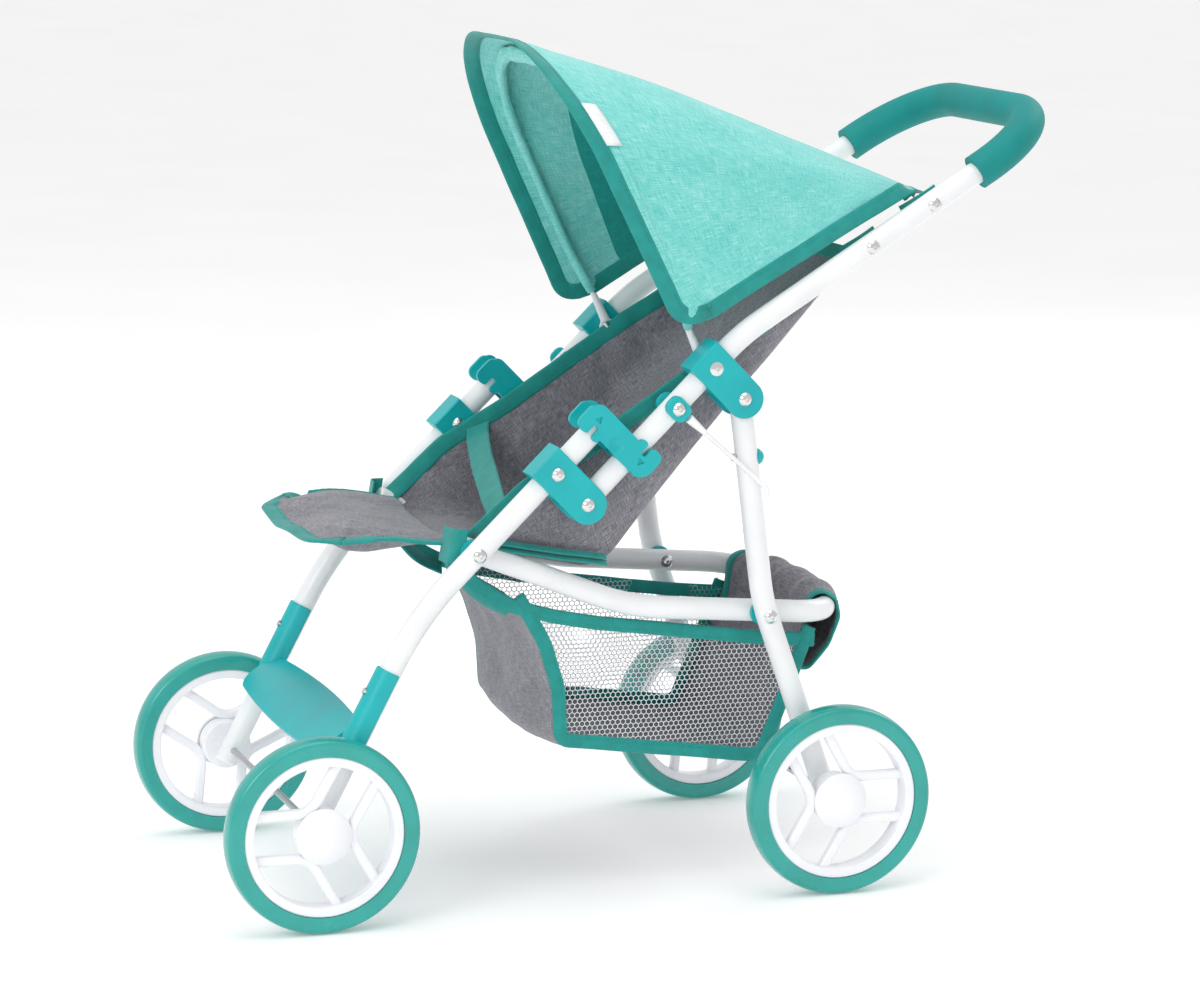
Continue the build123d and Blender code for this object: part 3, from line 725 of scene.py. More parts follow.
@dataclass
class Edge:
    """A cloth edge to bind: its points, the way into the cloth and the cloth's normal."""

    points: np.ndarray
    inward: np.ndarray
    normal: np.ndarray

    @classmethod
    def of_surface(
        cls, surface: Surface, start: Place, end: Place, into: Place, count: int, depth: float = 10 * MM
    ) -> "Edge":
        """Read an edge off a surface.

        Args:
            surface: The sheet's surface, in metres.
            start: The edge's first place, as shares across and along.
            end: Its last place.
            into: The direction into the cloth, as a small step of the same shares.
            count: How many points to read.
            depth: How far in the tape reaches, in metres, so that its inner side meets the cloth.

        Returns:
            The edge.
        """
        shares = [
            (
                start[0] + (end[0] - start[0]) * i / (count - 1),
                start[1] + (end[1] - start[1]) * i / (count - 1),
            )
            for i in range(count)
        ]
        points = np.array([surface(*s) for s in shares])
        inner = []
        for s, point in zip(shares, points):
            near = surface(s[0] + into[0], s[1] + into[1])
            reach = depth / max(1e-6, float(np.linalg.norm(near - point)))
            reach = min(reach, 3.0)
            inner.append(surface(s[0] + into[0] * reach, s[1] + into[1] * reach))
        return cls.from_lines(points, np.array(inner))

    @classmethod
    def from_lines(cls, points: np.ndarray, inner: np.ndarray) -> "Edge":
        """Make an edge from its points and a second line inside the cloth."""
        tangent = np.gradient(points, axis=0)
        tangent /= np.linalg.norm(tangent, axis=1, keepdims=True) + 1e-12
        inward = inner - points
        inward -= tangent * np.sum(inward * tangent, axis=1, keepdims=True)
        inward /= np.linalg.norm(inward, axis=1, keepdims=True) + 1e-12
        return cls(points, inward, np.cross(tangent, inward))

    def inside(self, distance: float, lift: float) -> np.ndarray:
        """The line at a distance into the cloth and a height above it, in metres."""
        return self.points + self.inward * distance + self.normal * lift


@dataclass
class Binding:
    """A tape folded over a cloth edge and sewn down."""

    width: float = 13.0 * MM
    half_thickness: float = 1.0 * MM
    ripple: float = 0.25 * MM
    stitch_inset: float = 2.2 * MM

    def profile(self) -> list[tuple[float, float]]:
        """The folded tape's closed section, as (into the cloth, off the cloth)."""
        w = self.width
        h = self.half_thickness
        side = [(w, 0.62 * h), (w - 0.5 * MM, h), (0.5 * w, 1.05 * h), (0.12 * w, h), (-0.4 * h, 0.72 * h)]
        return side + [(-0.75 * h, 0.0)] + [(a, -b) for a, b in reversed(side)]

    def fold(self, name: str, edge: Edge, closed: bool = False) -> bpy.types.Object:
        """Fold the tape along an edge.

        Args:
            name: The object's name.
            edge: The edge to bind.
            closed: Whether the edge runs back to its own start.

        Returns:
            The tape.
        """
        section = self.profile()
        count = len(section)
        verts = []
        for i, (p, a, n) in enumerate(zip(edge.points, edge.inward, edge.normal)):
            swell = 1 + 0.25 * wobble(p[0] / MM, p[1] / MM, p[2] / MM, 14.0)
            slip = self.ripple * wobble(p[2] / MM, p[0] / MM, p[1] / MM, 22.0)
            for depth, lift in section:
                verts.append(p + a * (depth + slip) + n * lift * swell)
        rows = len(edge.points)
        faces = []
        for i in range(rows if closed else rows - 1):
            j = (i + 1) % rows
            for k in range(count):
                m = (k + 1) % count
                faces.append((i * count + k, j * count + k, j * count + m, i * count + m))
        if not closed:
            faces.append(tuple(range(count)))
            faces.append(tuple((rows - 1) * count + k for k in reversed(range(count))))
        obj = add_object(name, verts, faces)
        steps = np.concatenate([[0], np.cumsum(np.linalg.norm(np.diff(edge.points, axis=0), axis=1))])
        layer = obj.data.uv_layers.new(name="cloth")
        for polygon in obj.data.polygons:
            for loop in polygon.loop_indices:
                index = obj.data.loops[loop].vertex_index
                layer.data[loop].uv = (steps[index // count], section[index % count][0])
        smooth(obj)
        dress(obj, Finish.BINDING)
        return obj

    def seams(self, edge: Edge) -> list[np.ndarray]:
        """The two stitch lines that hold the tape, one on each face of the cloth."""
        depth = self.width - self.stitch_inset
        lift = self.half_thickness * 1.05
        return [edge.inside(depth, lift), edge.inside(depth, -lift)]


def join(name: str, pieces: Sequence[bpy.types.Object]) -> bpy.types.Object:
    """Join meshes that share a finish to one object.

    Args:
        name: The joined piece's name.
        pieces: The pieces to join.

    Returns:
        The one piece.
    """
    bpy.ops.object.select_all(action="DESELECT")
    for piece in pieces:
        piece.select_set(True)
    bpy.context.view_layer.objects.active = pieces[0]
    bpy.ops.object.join()
    pieces[0].name = name
    pieces[0].data.name = name
    return pieces[0]


class Softs:
    """What every soft sub-assembly shares: how its pieces follow the frame."""

    def follow(self, piece: bpy.types.Object) -> bpy.types.Object:
        """Tie a piece to the moving frame."""
        raise NotImplementedError

    def finish(self, piece: bpy.types.Object, *nodes: str) -> bpy.types.Object:
        """Tie a piece, hide the CAD nodes it stands for, and log it."""
        self.follow(piece)
        if nodes:
            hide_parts(*nodes)
        LOG.info("%s: %d faces", piece.name, len(piece.data.polygons))
        return piece


# Hood


@dataclass
class Hood(Softs):
    """One sheet of chambray from the bow's arch back to the handle tube."""

    half_width: float = 127.0
    corner: float = 96.0
    top: float = 248.0
    near_low: float = 20.0
    far_low: float = 5.0
    lean: float = 115.0
    front_foot: Place = (266.0, 391.0)
    rear_half_width: float = 111.0
    rear_side: Place = (450.0, 510.0)
    rear_middle: Place = (488.0, 500.0)
    lower_corner: float = 26.0
    crown: float = 6.0
    skew: float = 9.0
    across: int = 168
    along: int = 72
    lining_depth: float = 78.0 * MM
    bow_angle: float = 115.5
    bow_pivot: Place = (291.5, 387.0)
    bow_corners: tuple[Place, ...] = ((105.9, 30.0), (119.0, 62.0), (119.0, 234.0))
    bow_radii: tuple[float, ...] = (60.0, 88.0)
    flat: Place = (0.70, 0.33)
    # half the fan it is cut as: front edge 321 round, rear edge 118, 347 down the middle, 217 down the side
    cut: tuple[Place, ...] = ((0.0, 0.0), (150.0, 52.0), (250.0, 175.0), (118.0, 340.0), (0.0, 347.0))
    tape: Binding = field(default_factory=lambda: Binding(width=11.5 * MM))

    def __post_init__(self) -> None:
        """Work out the arch once."""
        w = self.half_width
        arch = [(w, self.near_low), (w, self.top), (-w, self.top), (-w, self.far_low)]
        self._arch = spread(self._round_arch(arch), 400)

    def _round_arch(self, arch: list[Place]) -> np.ndarray:
        """Round the arch's two top corners with true quarter circles.

        Args:
            arch: Its four corners, as width and height up the bow in mm.

        Returns:
            The rounded line of places.
        """
        points = [np.array(arch[0])]
        for centre_x, start in ((self.half_width - self.corner, 0.0), (self.corner - self.half_width, 90.0)):
            centre = np.array([centre_x, self.top - self.corner])
            for i in range(25):
                angle = math.radians(start + 90 * i / 24)
                points.append(centre + self.corner * np.array([math.cos(angle), math.sin(angle)]))
        points.append(np.array(arch[3]))
        return np.array(points)

    def surface(self, across: float, along: float) -> np.ndarray:
        """The hood's place in metres at shares from left to right and from front to rear.

        Args:
            across: Share from left to right.
            along: Share from front to rear.

        Returns:
            The place in metres.
        """
        s = min(1.0, max(0.0, across))
        x, up = self._arch[min(399, int(round(s * 399)))] if s in (0.0, 1.0) else on_row(self._arch, s)
        lean = math.radians(self.lean)
        front = np.array(
            [x, self.front_foot[0] + up * math.cos(lean), self.front_foot[1] + up * math.sin(lean)]
        )
        front[1] += self.skew * max(0.0, x / self.half_width) * (1 - up / self.top)
        side = math.cos(math.pi * s)
        bow = 1 - side * side
        rear = np.array(
            [
                self.rear_half_width * math.copysign(abs(side) ** 0.8, side),
                self.rear_side[0] + (self.rear_middle[0] - self.rear_side[0]) * bow,
                self.rear_side[1] + (self.rear_middle[1] - self.rear_side[1]) * bow,
            ]
        )
        end = min(s, 1 - s) * 700 / self.lower_corner
        cut = 0.13 * (1 - math.sqrt(max(0.0, 1 - max(0.0, 1 - end) ** 2)))
        v = cut + (1 - cut) * along
        point = front * (1 - v) + rear * v
        lift = 4 * v * (1 - v)
        away = np.array([math.cos(math.pi * s) * 0.6, 0.25, 0.9])
        point += away * self.crown * lift * (0.35 + 0.65 * bow)
        # the wire under the cloth, and soft folds that run back from it
        wire = math.exp(-(((v - 0.06) / 0.03) ** 2))
        fold = (
            wobble(s * 700, v * 90, 3.0, 46.0) * 2.6 * lift
            + wobble(s * 240, v * 300, 9.0, 30.0) * 0.9 * lift
        )
        drag = math.sin((s * 9 + v * 2.3) * math.pi) * 0.8 * lift * (1 - v)
        fade = min(1.0, min(s, 1 - s) * 700 / 50)
        point += away * (0.9 * wire + (fold + drag) * fade)
        return space(point[0], (point[1], point[2]))

    def follow(self, piece: bpy.types.Object) -> bpy.types.Object:
        """The cloth stays where it is built, with its transform baked into its mesh."""
        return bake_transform(piece)

    def build(self) -> None:
        """Make the sheet, its lining, its binding, stitches, tag and wire casing."""
        sheet = sheet_grid("hood_sheet", self.surface, self.across, self.along, self.flat)
        dress(sheet, Finish.MINT, Finish.MINT, Finish.LINING)
        self._line(sheet)
        thicken(sheet, 0.9 * MM, lining=True)
        edges = [
            Edge.of_surface(self.surface, (0.0, 0.0), (1.0, 0.0), (0.0, 0.02), 220),
            Edge.of_surface(self.surface, (1.0, 0.0), (1.0, 1.0), (-0.01, 0.0), 70),
            Edge.of_surface(self.surface, (1.0, 1.0), (0.0, 1.0), (0.0, -0.02), 90),
            Edge.of_surface(self.surface, (0.0, 1.0), (0.0, 0.0), (0.01, 0.0), 70),
        ]
        tapes = [self.tape.fold(f"hood_tape_{i}", edge) for i, edge in enumerate(edges)]
        binding = join("hood_binding", tapes)
        seams = [line for edge in edges for line in self.tape.seams(edge)]
        stitches = Stitching().sew("hood_stitches", seams)
        tag = self._tag()
        casing = self._casing()
        self.finish(sheet, "hood")
        for piece in (binding, stitches, tag, casing):
            self.finish(piece)
        flat, area = cut_size(self.cut)

    def _casing(self) -> bpy.types.Object:
        """The cloth tunnel inside the hood that the bow's wire runs in.

        Returns:
            The casing.
        """
        left = list(self.bow_corners)
        right = [(-x, up) for x, up in reversed(left)]
        radii = [*self.bow_radii, *reversed(self.bow_radii)]
        path = spread(rounded([*left, *right], radii, 14), 150)
        lean = math.radians(self.bow_angle)
        up_way = np.array([0, math.cos(lean), math.sin(lean)])
        fore = np.array([0, -math.sin(lean), math.cos(lean)])
        tangents = np.gradient(path, axis=0)
        tangents /= np.linalg.norm(tangents, axis=1, keepdims=True)
        around = 14
        verts = []
        for i, ((x, up), (tx, tu)) in enumerate(zip(path, tangents)):
            middle = space(x, self.bow_pivot) + up_way * up * MM
            out = np.array([tu, 0, 0]) - up_way * tx
            pucker = 1 + 0.16 * wobble(x, up, 4.0, 13.0)
            flat = min(1.0, min(i, 149 - i) / 5 + 0.5)
            for k in range(around):
                turn = 2 * math.pi * k / around
                wide = (8.0 if math.cos(turn) > 0 else 4.2) * pucker * flat
                verts.append(
                    middle + (out * wide * math.cos(turn) + fore * 3.4 * pucker * math.sin(turn)) * MM
                )
        faces = [
            (
                i * around + k,
                i * around + (k + 1) % around,
                (i + 1) * around + (k + 1) % around,
                (i + 1) * around + k,
            )
            for i in range(149)
            for k in range(around)
        ]
        casing = add_object("hood_casing", verts, faces)
        layer = casing.data.uv_layers.new(name="cloth")
        for loop in casing.data.loops:
            ring, turn = divmod(loop.vertex_index, around)
            layer.data[loop.index].uv = (ring * 4 * MM, turn * 2 * MM)
        smooth(casing)
        dress(casing, Finish.MINT)
        return casing

    def _line(self, sheet: bpy.types.Object) -> None:
        """Give the rear of the inside the teal lining."""
        rows = self.along + 1
        for polygon in sheet.data.polygons:
            row = min(polygon.vertices) // (self.across + 1)
            polygon.material_index = 1 if row / rows * self.flat[1] > self.lining_depth else 0

    def _tag(self) -> bpy.types.Object:
        """A small blank tag sewn in beside the front binding.

        Returns:
            The tag.
        """
        s0, s1 = 0.235, 0.29
        verts = []
        for i in range(9):
            s = s0 + (s1 - s0) * i / 8
            edge = self.surface(s, 0.0)
            inner = self.surface(s, 0.05)
            inward = (inner - edge) / np.linalg.norm(inner - edge)
            along = self.surface(s + 0.01, 0.0) - self.surface(s - 0.01, 0.0)
            along /= np.linalg.norm(along)
            normal = np.cross(inward, along)
            normal *= 1 if normal[0] > 0 else -1
            for depth, lift in ((11.5, 1.6), (17.0, 2.6), (23.0, 2.1)):
                verts.append(edge + inward * depth * MM + normal * lift * MM)
        faces = [(i * 3 + k, i * 3 + k + 1, i * 3 + k + 4, i * 3 + k + 3) for i in range(8) for k in range(2)]
        tag = add_object("hood_tag", verts, faces)
        layer = tag.data.uv_layers.new(name="cloth")
        for loop in tag.data.loops:
            layer.data[loop.index].uv = (loop.vertex_index // 3 * 4.5 * MM, loop.vertex_index % 3 * 6 * MM)
        smooth(tag)
        dress(tag, Finish.TAG)
        thicken(tag, 0.5 * MM)
        return tag


def on_row(path: np.ndarray, share: float) -> np.ndarray:
    """The point at a share of a path whose points are evenly spaced."""
    place = share * (len(path) - 1)
    first = min(len(path) - 2, int(place))
    part = place - first
    return path[first] * (1 - part) + path[first + 1] * part


# Seat


@dataclass
class Seat(Softs):
    """The sling seat: one sheet with raised wings, bound along both upper edges."""

    spine: tuple[Place, ...] = ((112.0, 258.0), (222.0, 239.0), (411.0, 466.0))
    wing: tuple[Place, ...] = (
        (112.0, 266.0),
        (156.0, 306.0),
        (207.0, 335.0),
        (302.0, 398.0),
        (331.0, 415.0),
        (408.0, 470.0),
    )
    floor_half: float = 91.0
    top_half: float = 102.0
    floor_half_rear: float = 96.0
    fold_radius: float = 20.0
    across: int = 96
    along: int = 150
    flat: Place = (0.39, 0.41)
    # half its width, wing and all, at the front, the fold, and three rows up the back
    cut: tuple[Place, ...] = (
        (0.0, 0.0),
        (104.5, 0.0),
        (171.5, 101.0),
        (151.0, 202.0),
        (123.5, 303.0),
        (104.0, 404.0),
        (0.0, 404.0),
    )
    tape: Binding = field(default_factory=lambda: Binding(width=12.0 * MM))

    def __post_init__(self) -> None:
        """Work out the two side-view lines once."""
        self._spine = spread(rounded(self.spine, [26.0]), 300)
        self._wing = spread(rounded(self.wing, [40.0, 60.0, 60.0, 60.0]), 300)

    def surface(self, across: float, along: float) -> np.ndarray:
        """The seat's place in metres at shares from left to right and from front to top.

        Args:
            across: Share from left to right.
            along: Share from front to rear.

        Returns:
            The place in metres.
        """
        v = min(1.0, max(0.0, along))
        low = on_row(self._spine, v)
        high = on_row(self._wing, v)
        rise = high - low
        depth = max(4.0, float(np.linalg.norm(rise)))
        rise = rise / max(1e-6, float(np.linalg.norm(rise)))
        half = self.floor_half + (self.floor_half_rear - self.floor_half) * v
        section = rounded(
            [(self.top_half, depth), (half, 0.0), (-half, 0.0), (-self.top_half, depth)],
            [min(self.fold_radius, 0.45 * depth)] * 2,
        )
        x, up = on_path(section, min(1.0, max(0.0, across)))
        middle = 1 - (x / self.top_half) ** 2
        sag = 5.0 * middle * math.sin(math.pi * v) ** 0.5 if 0 < v < 1 else 0.0
        wing = min(1.0, up / depth) * min(1.0, depth / 40)
        crease = wobble(x, v * 400, up, 55.0) * 3.4 * middle
        pull = wobble(up * 0.7, v * 420, 5.0 + math.copysign(7, x), 40.0) * 4.0 * wing * (1 - wing) * 4
        place = low + rise * up
        spine_way = on_row(self._spine, min(1.0, v + 0.01)) - on_row(self._spine, max(0.0, v - 0.01))
        down = np.array([spine_way[1], -spine_way[0]]) / np.linalg.norm(spine_way)
        place = place + down * (sag + crease)
        x += math.copysign(pull, x) * -1
        return space(float(x), (float(place[0]), float(place[1])))

    def follow(self, piece: bpy.types.Object) -> bpy.types.Object:
        """The cloth stays where it is built, with its transform baked into its mesh."""
        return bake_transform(piece)

    def build(self) -> None:
        """Make the sheet, its bindings, stitches, seam tapes and corner wraps."""
        sheet = sheet_grid("seat_sheet", self.surface, self.across, self.along, self.flat)
        dress(sheet, Finish.GREY)
        thicken(sheet, 1.1 * MM)
        edges = [
            Edge.of_surface(self.surface, (1.0, 0.0), (1.0, 1.0), (-0.03, 0.0), 150),
            Edge.of_surface(self.surface, (0.0, 1.0), (0.0, 0.0), (0.03, 0.0), 150),
            Edge.of_surface(self.surface, (1.0, 1.0), (0.0, 1.0), (0.0, -0.02), 80),
        ]
        tapes = [self.tape.fold(f"seat_tape_{i}", edge) for i, edge in enumerate(edges)]
        seam_tapes, seam_lines = self._seam_tapes()
        binding = join("seat_binding", tapes + seam_tapes)
        seams = [line for edge in edges for line in self.tape.seams(edge)]
        stitches = Stitching().sew("seat_stitches", seams + seam_lines)
        wraps = join("seat_corner_wraps", self._corner_wraps())
        thicken(wraps, 1.2 * MM)
        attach(wraps, "front_frame")
        self.finish(sheet, "seat_base", "seat_back")
        self.finish(binding)
        self.finish(stitches)
        flat, area = cut_size(self.cut)

    def _corner_wraps(self) -> list[bpy.types.Object]:
        """The tapes that wrap the sling's front corners round the basket tube's ends.

        Returns:
            The wraps, left then right.
        """
        wraps = []
        plan = spread(rounded([(113.0, 110.1), (103.5, 110.1), (101.0, 92.0)], [4.0]), 40)
        for side in (1, -1):

            def surface(across: float, along: float, side: int = side) -> np.ndarray:
                """The wrap's place in metres."""
                y, x = on_row(plan, across)
                lean = 4.0 * (along - 0.5)
                return space(side * float(x), (float(y) + lean, 250.5 + 25.0 * along))

            wrap = sheet_grid(f"seat_wrap_{side}", surface, 24, 14, (0.028, 0.025), side < 0)
            dress(wrap, Finish.BINDING)
            wraps.append(wrap)
        return wraps

    def _seam_tapes(self) -> tuple[list[bpy.types.Object], list[np.ndarray]]:
        """The two bound seam edges, one over the other, below each wing.

        Returns:
            The tapes, and the lines that their stitches follow.
        """
        tapes: list[bpy.types.Object] = []
        lines: list[np.ndarray] = []
        seam = Binding(width=6.0 * MM, half_thickness=0.9 * MM, stitch_inset=2.0 * MM)
        path = spread(rounded([(136.0, 258.5), (187.0, 249.0), (221.0, 244.0)], [80.0]), 40)
        for side in (1, -1):
            for level in (0.0, 4.2):
                outer = np.array([space(side * (104.0 - 0.3 * level), (p[0], p[1] + level)) for p in path])
                inner = np.array([space(side * 97.0, (p[0], p[1] + level + 2.5)) for p in path])
                edge = Edge.from_lines(outer, inner)
                tapes.append(seam.fold(f"seam_tape_{side}_{level}", edge))
                lines.append(seam.seams(edge)[0])
        return tapes, lines


@dataclass
class LegFlap(Softs):
    """The padded flap ahead of the seat, with a wavy bound edge."""

    rear: float = 116.0
    front: float = 10.0
    rear_half: float = 95.0
    front_half: float = 82.0
    near_height: tuple[Place, ...] = ((8, 267), (20, 264), (34, 263.5), (64, 267), (90, 263), (118, 262))
    far_height: tuple[Place, ...] = ((8, 267), (20, 268), (34, 272), (60, 278), (86, 275), (118, 268))
    middle_height: tuple[Place, ...] = ((8, 262), (20, 263), (34, 265), (60, 266), (86, 262), (118, 256))
    across: int = 88
    along: int = 56
    flat_edge: float = 9.0
    tape: Binding = field(default_factory=lambda: Binding(width=11.0 * MM, half_thickness=1.5 * MM))

    def follow(self, piece: bpy.types.Object) -> bpy.types.Object:
        """The flap stays with the front frame."""
        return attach(piece, "front_frame")

    def _height(self, line: tuple[Place, ...], y: float) -> float:
        """A height line's value, smoothed between its places."""
        ys = [p[0] for p in line]
        zs = [p[1] for p in line]
        near = [float(np.interp(y + d, ys, zs)) for d in (-9, -5, 0, 5, 9)]
        return sum(near) / len(near)

    def middle(self, across: float, along: float) -> np.ndarray:
        """The flap's middle surface in millimetres: x, y and z.

        Args:
            across: Share from left to right.
            along: Share from rear to front.

        Returns:
            The place in metres.
        """
        u = 2 * min(1.0, max(0.0, across)) - 1
        v = min(1.0, max(0.0, along))
        round_off = 20.0 * max(0.0, abs(u) - 0.72) ** 2 / 0.28**2
        y = self.rear + (self.front + round_off - 9 * (1 - abs(u)) * 0.4 - self.rear) * v
        half = self.rear_half + (self.front_half - self.rear_half) * v**1.4
        x = u * half
        near = self._height(self.near_height, y)
        far = self._height(self.far_height, y)
        mid = self._height(self.middle_height, y)
        edge = near if u > 0 else far
        z = mid + (edge - mid) * abs(u) ** 2.2
        z += 2.6 * wobble(x, y, 7.0, 48.0) * (1 - abs(u) ** 3)
        curl = min(1.0, max(0.0, (-u - 0.8) / 0.2)) * min(1.0, (1 - v) / 0.2)
        z -= 9.0 * curl * curl
        return np.array([x, y, z])

    def face(self, across: float, along: float, side: int) -> np.ndarray:
        """The upper or lower face in metres; side is 1 above and -1 below.

        Args:
            across: Share from left to right.
            along: Share from rear to front.
            side: 1 for the upper face and -1 for the lower.

        Returns:
            The place in metres.
        """
        point = self.middle(across, along)
        half = self.rear_half + (self.front_half - self.rear_half) * along**1.4
        from_edge = min((1 - abs(2 * across - 1)) * half, (1 - along) * (self.rear - self.front))
        fill = min(1.0, max(0.0, (from_edge - self.flat_edge) / 26.0))
        fill = fill * fill * (3 - 2 * fill)
        at_rear = 1 - 0.6 * (1 - along) ** 6
        hang = 9.0 * math.exp(-(((point[0] - 58) / 30) ** 2 + ((point[1] - 54) / 26) ** 2))
        lift = 0.8 + 4.2 * fill * at_rear if side > 0 else -(0.8 + (4.2 + hang) * fill * at_rear)
        lift += 0.9 * wobble(point[0], point[1], side * 4.0, 18.0) * fill
        return space(float(point[0]), (float(point[1]), float(point[2]) + lift))

    def build(self) -> None:
        """Make the pad, its binding and its stitches."""
        row = self.across + 1
        verts = []
        for side in (1, -1):
            for j in range(self.along + 1):
                for i in range(self.across + 1):
                    verts.append(self.face(i / self.across, j / self.along, side))
        offset = row * (self.along + 1)
        faces = []
        for j in range(self.along):
            for i in range(self.across):
                a = j * row + i
                quad = (a, a + row, a + row + 1, a + 1)
                faces.append(quad)
                faces.append(tuple(offset + k for k in reversed(quad)))
        border = [i for i in range(row)]
        border += [j * row + self.across for j in range(1, self.along + 1)]
        border += [self.along * row + i for i in range(self.across - 1, -1, -1)]
        border += [j * row for j in range(self.along - 1, 0, -1)]
        for a, b in zip(border, border[1:] + border[:1]):
            faces.append((a, b, offset + b, offset + a))
        pad = add_object("leg_flap_pad", verts, faces)
        layer = pad.data.uv_layers.new(name="cloth")
        for loop in pad.data.loops:
            index = loop.vertex_index % offset
            layer.data[loop.index].uv = (
                (index % row) / self.across * 0.18,
                (index // row) / self.along * 0.11,
            )
        smooth(pad)
        dress(pad, Finish.GREY)
        edges = []
        for start, end, into, count in (
            ((0.0, 0.0), (0.0, 1.0), (0.03, 0.0), 60),
            ((0.0, 1.0), (1.0, 1.0), (0.0, -0.04), 100),
            ((1.0, 1.0), (1.0, 0.0), (-0.03, 0.0), 60),
        ):
            edges.append(Edge.of_surface(self._middle_metres, start, end, into, count))
        binding = join("leg_flap_binding", [self.tape.fold(f"flap_tape_{i}", e) for i, e in enumerate(edges)])
        stitches = Stitching().sew("leg_flap_stitches", [s for e in edges for s in self.tape.seams(e)])
        self.finish(pad, "leg_flap")
        self.finish(binding)
        self.finish(stitches)

    def _middle_metres(self, across: float, along: float) -> np.ndarray:
        """The middle surface in metres."""
        point = self.middle(across, along)
        return space(float(point[0]), (float(point[1]), float(point[2])))


@dataclass
class LapStrap(Softs):
    """The flat strap from wing to wing across the seat."""

    route: tuple[tuple[float, float, float], ...] = (
        (-100.0, 187.0, 315.0),
        (-92.0, 184.0, 309.0),
        (-40.0, 171.0, 299.0),
        (40.0, 154.0, 287.0),
        (88.0, 145.0, 279.0),
        (100.0, 143.0, 284.0),
    )
    width: float = 19.0

    def follow(self, piece: bpy.types.Object) -> bpy.types.Object:
        """The strap stays with the front frame."""
        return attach(piece, "front_frame")

    def build(self) -> None:
        """Make the strap."""
        path = spread(rounded(self.route, [30.0, 120.0, 200.0, 60.0]), 90)

        def surface(across: float, along: float) -> np.ndarray:
            """The strap's place in metres."""
            x, y, z = on_row(path, along)
            lean = math.radians(20 + 36 * along + 5 * math.sin(along * 8))
            step = (across - 0.5) * self.width
            return space(float(x), (float(y + step * math.cos(lean)), float(z + step * math.sin(lean))))

        strap = sheet_grid("lap_strap_webbing", surface, 8, 90, (self.width * MM, 0.22))
        for loop in strap.data.loops:
            uv = strap.data.uv_layers[0].data[loop.index]
            uv.uv = (uv.uv[1], uv.uv[0])
        dress(strap, Finish.BINDING)
        thicken(strap, 1.2 * MM)
        self.finish(strap, "lap_strap")
        line_length(path)


# Basket


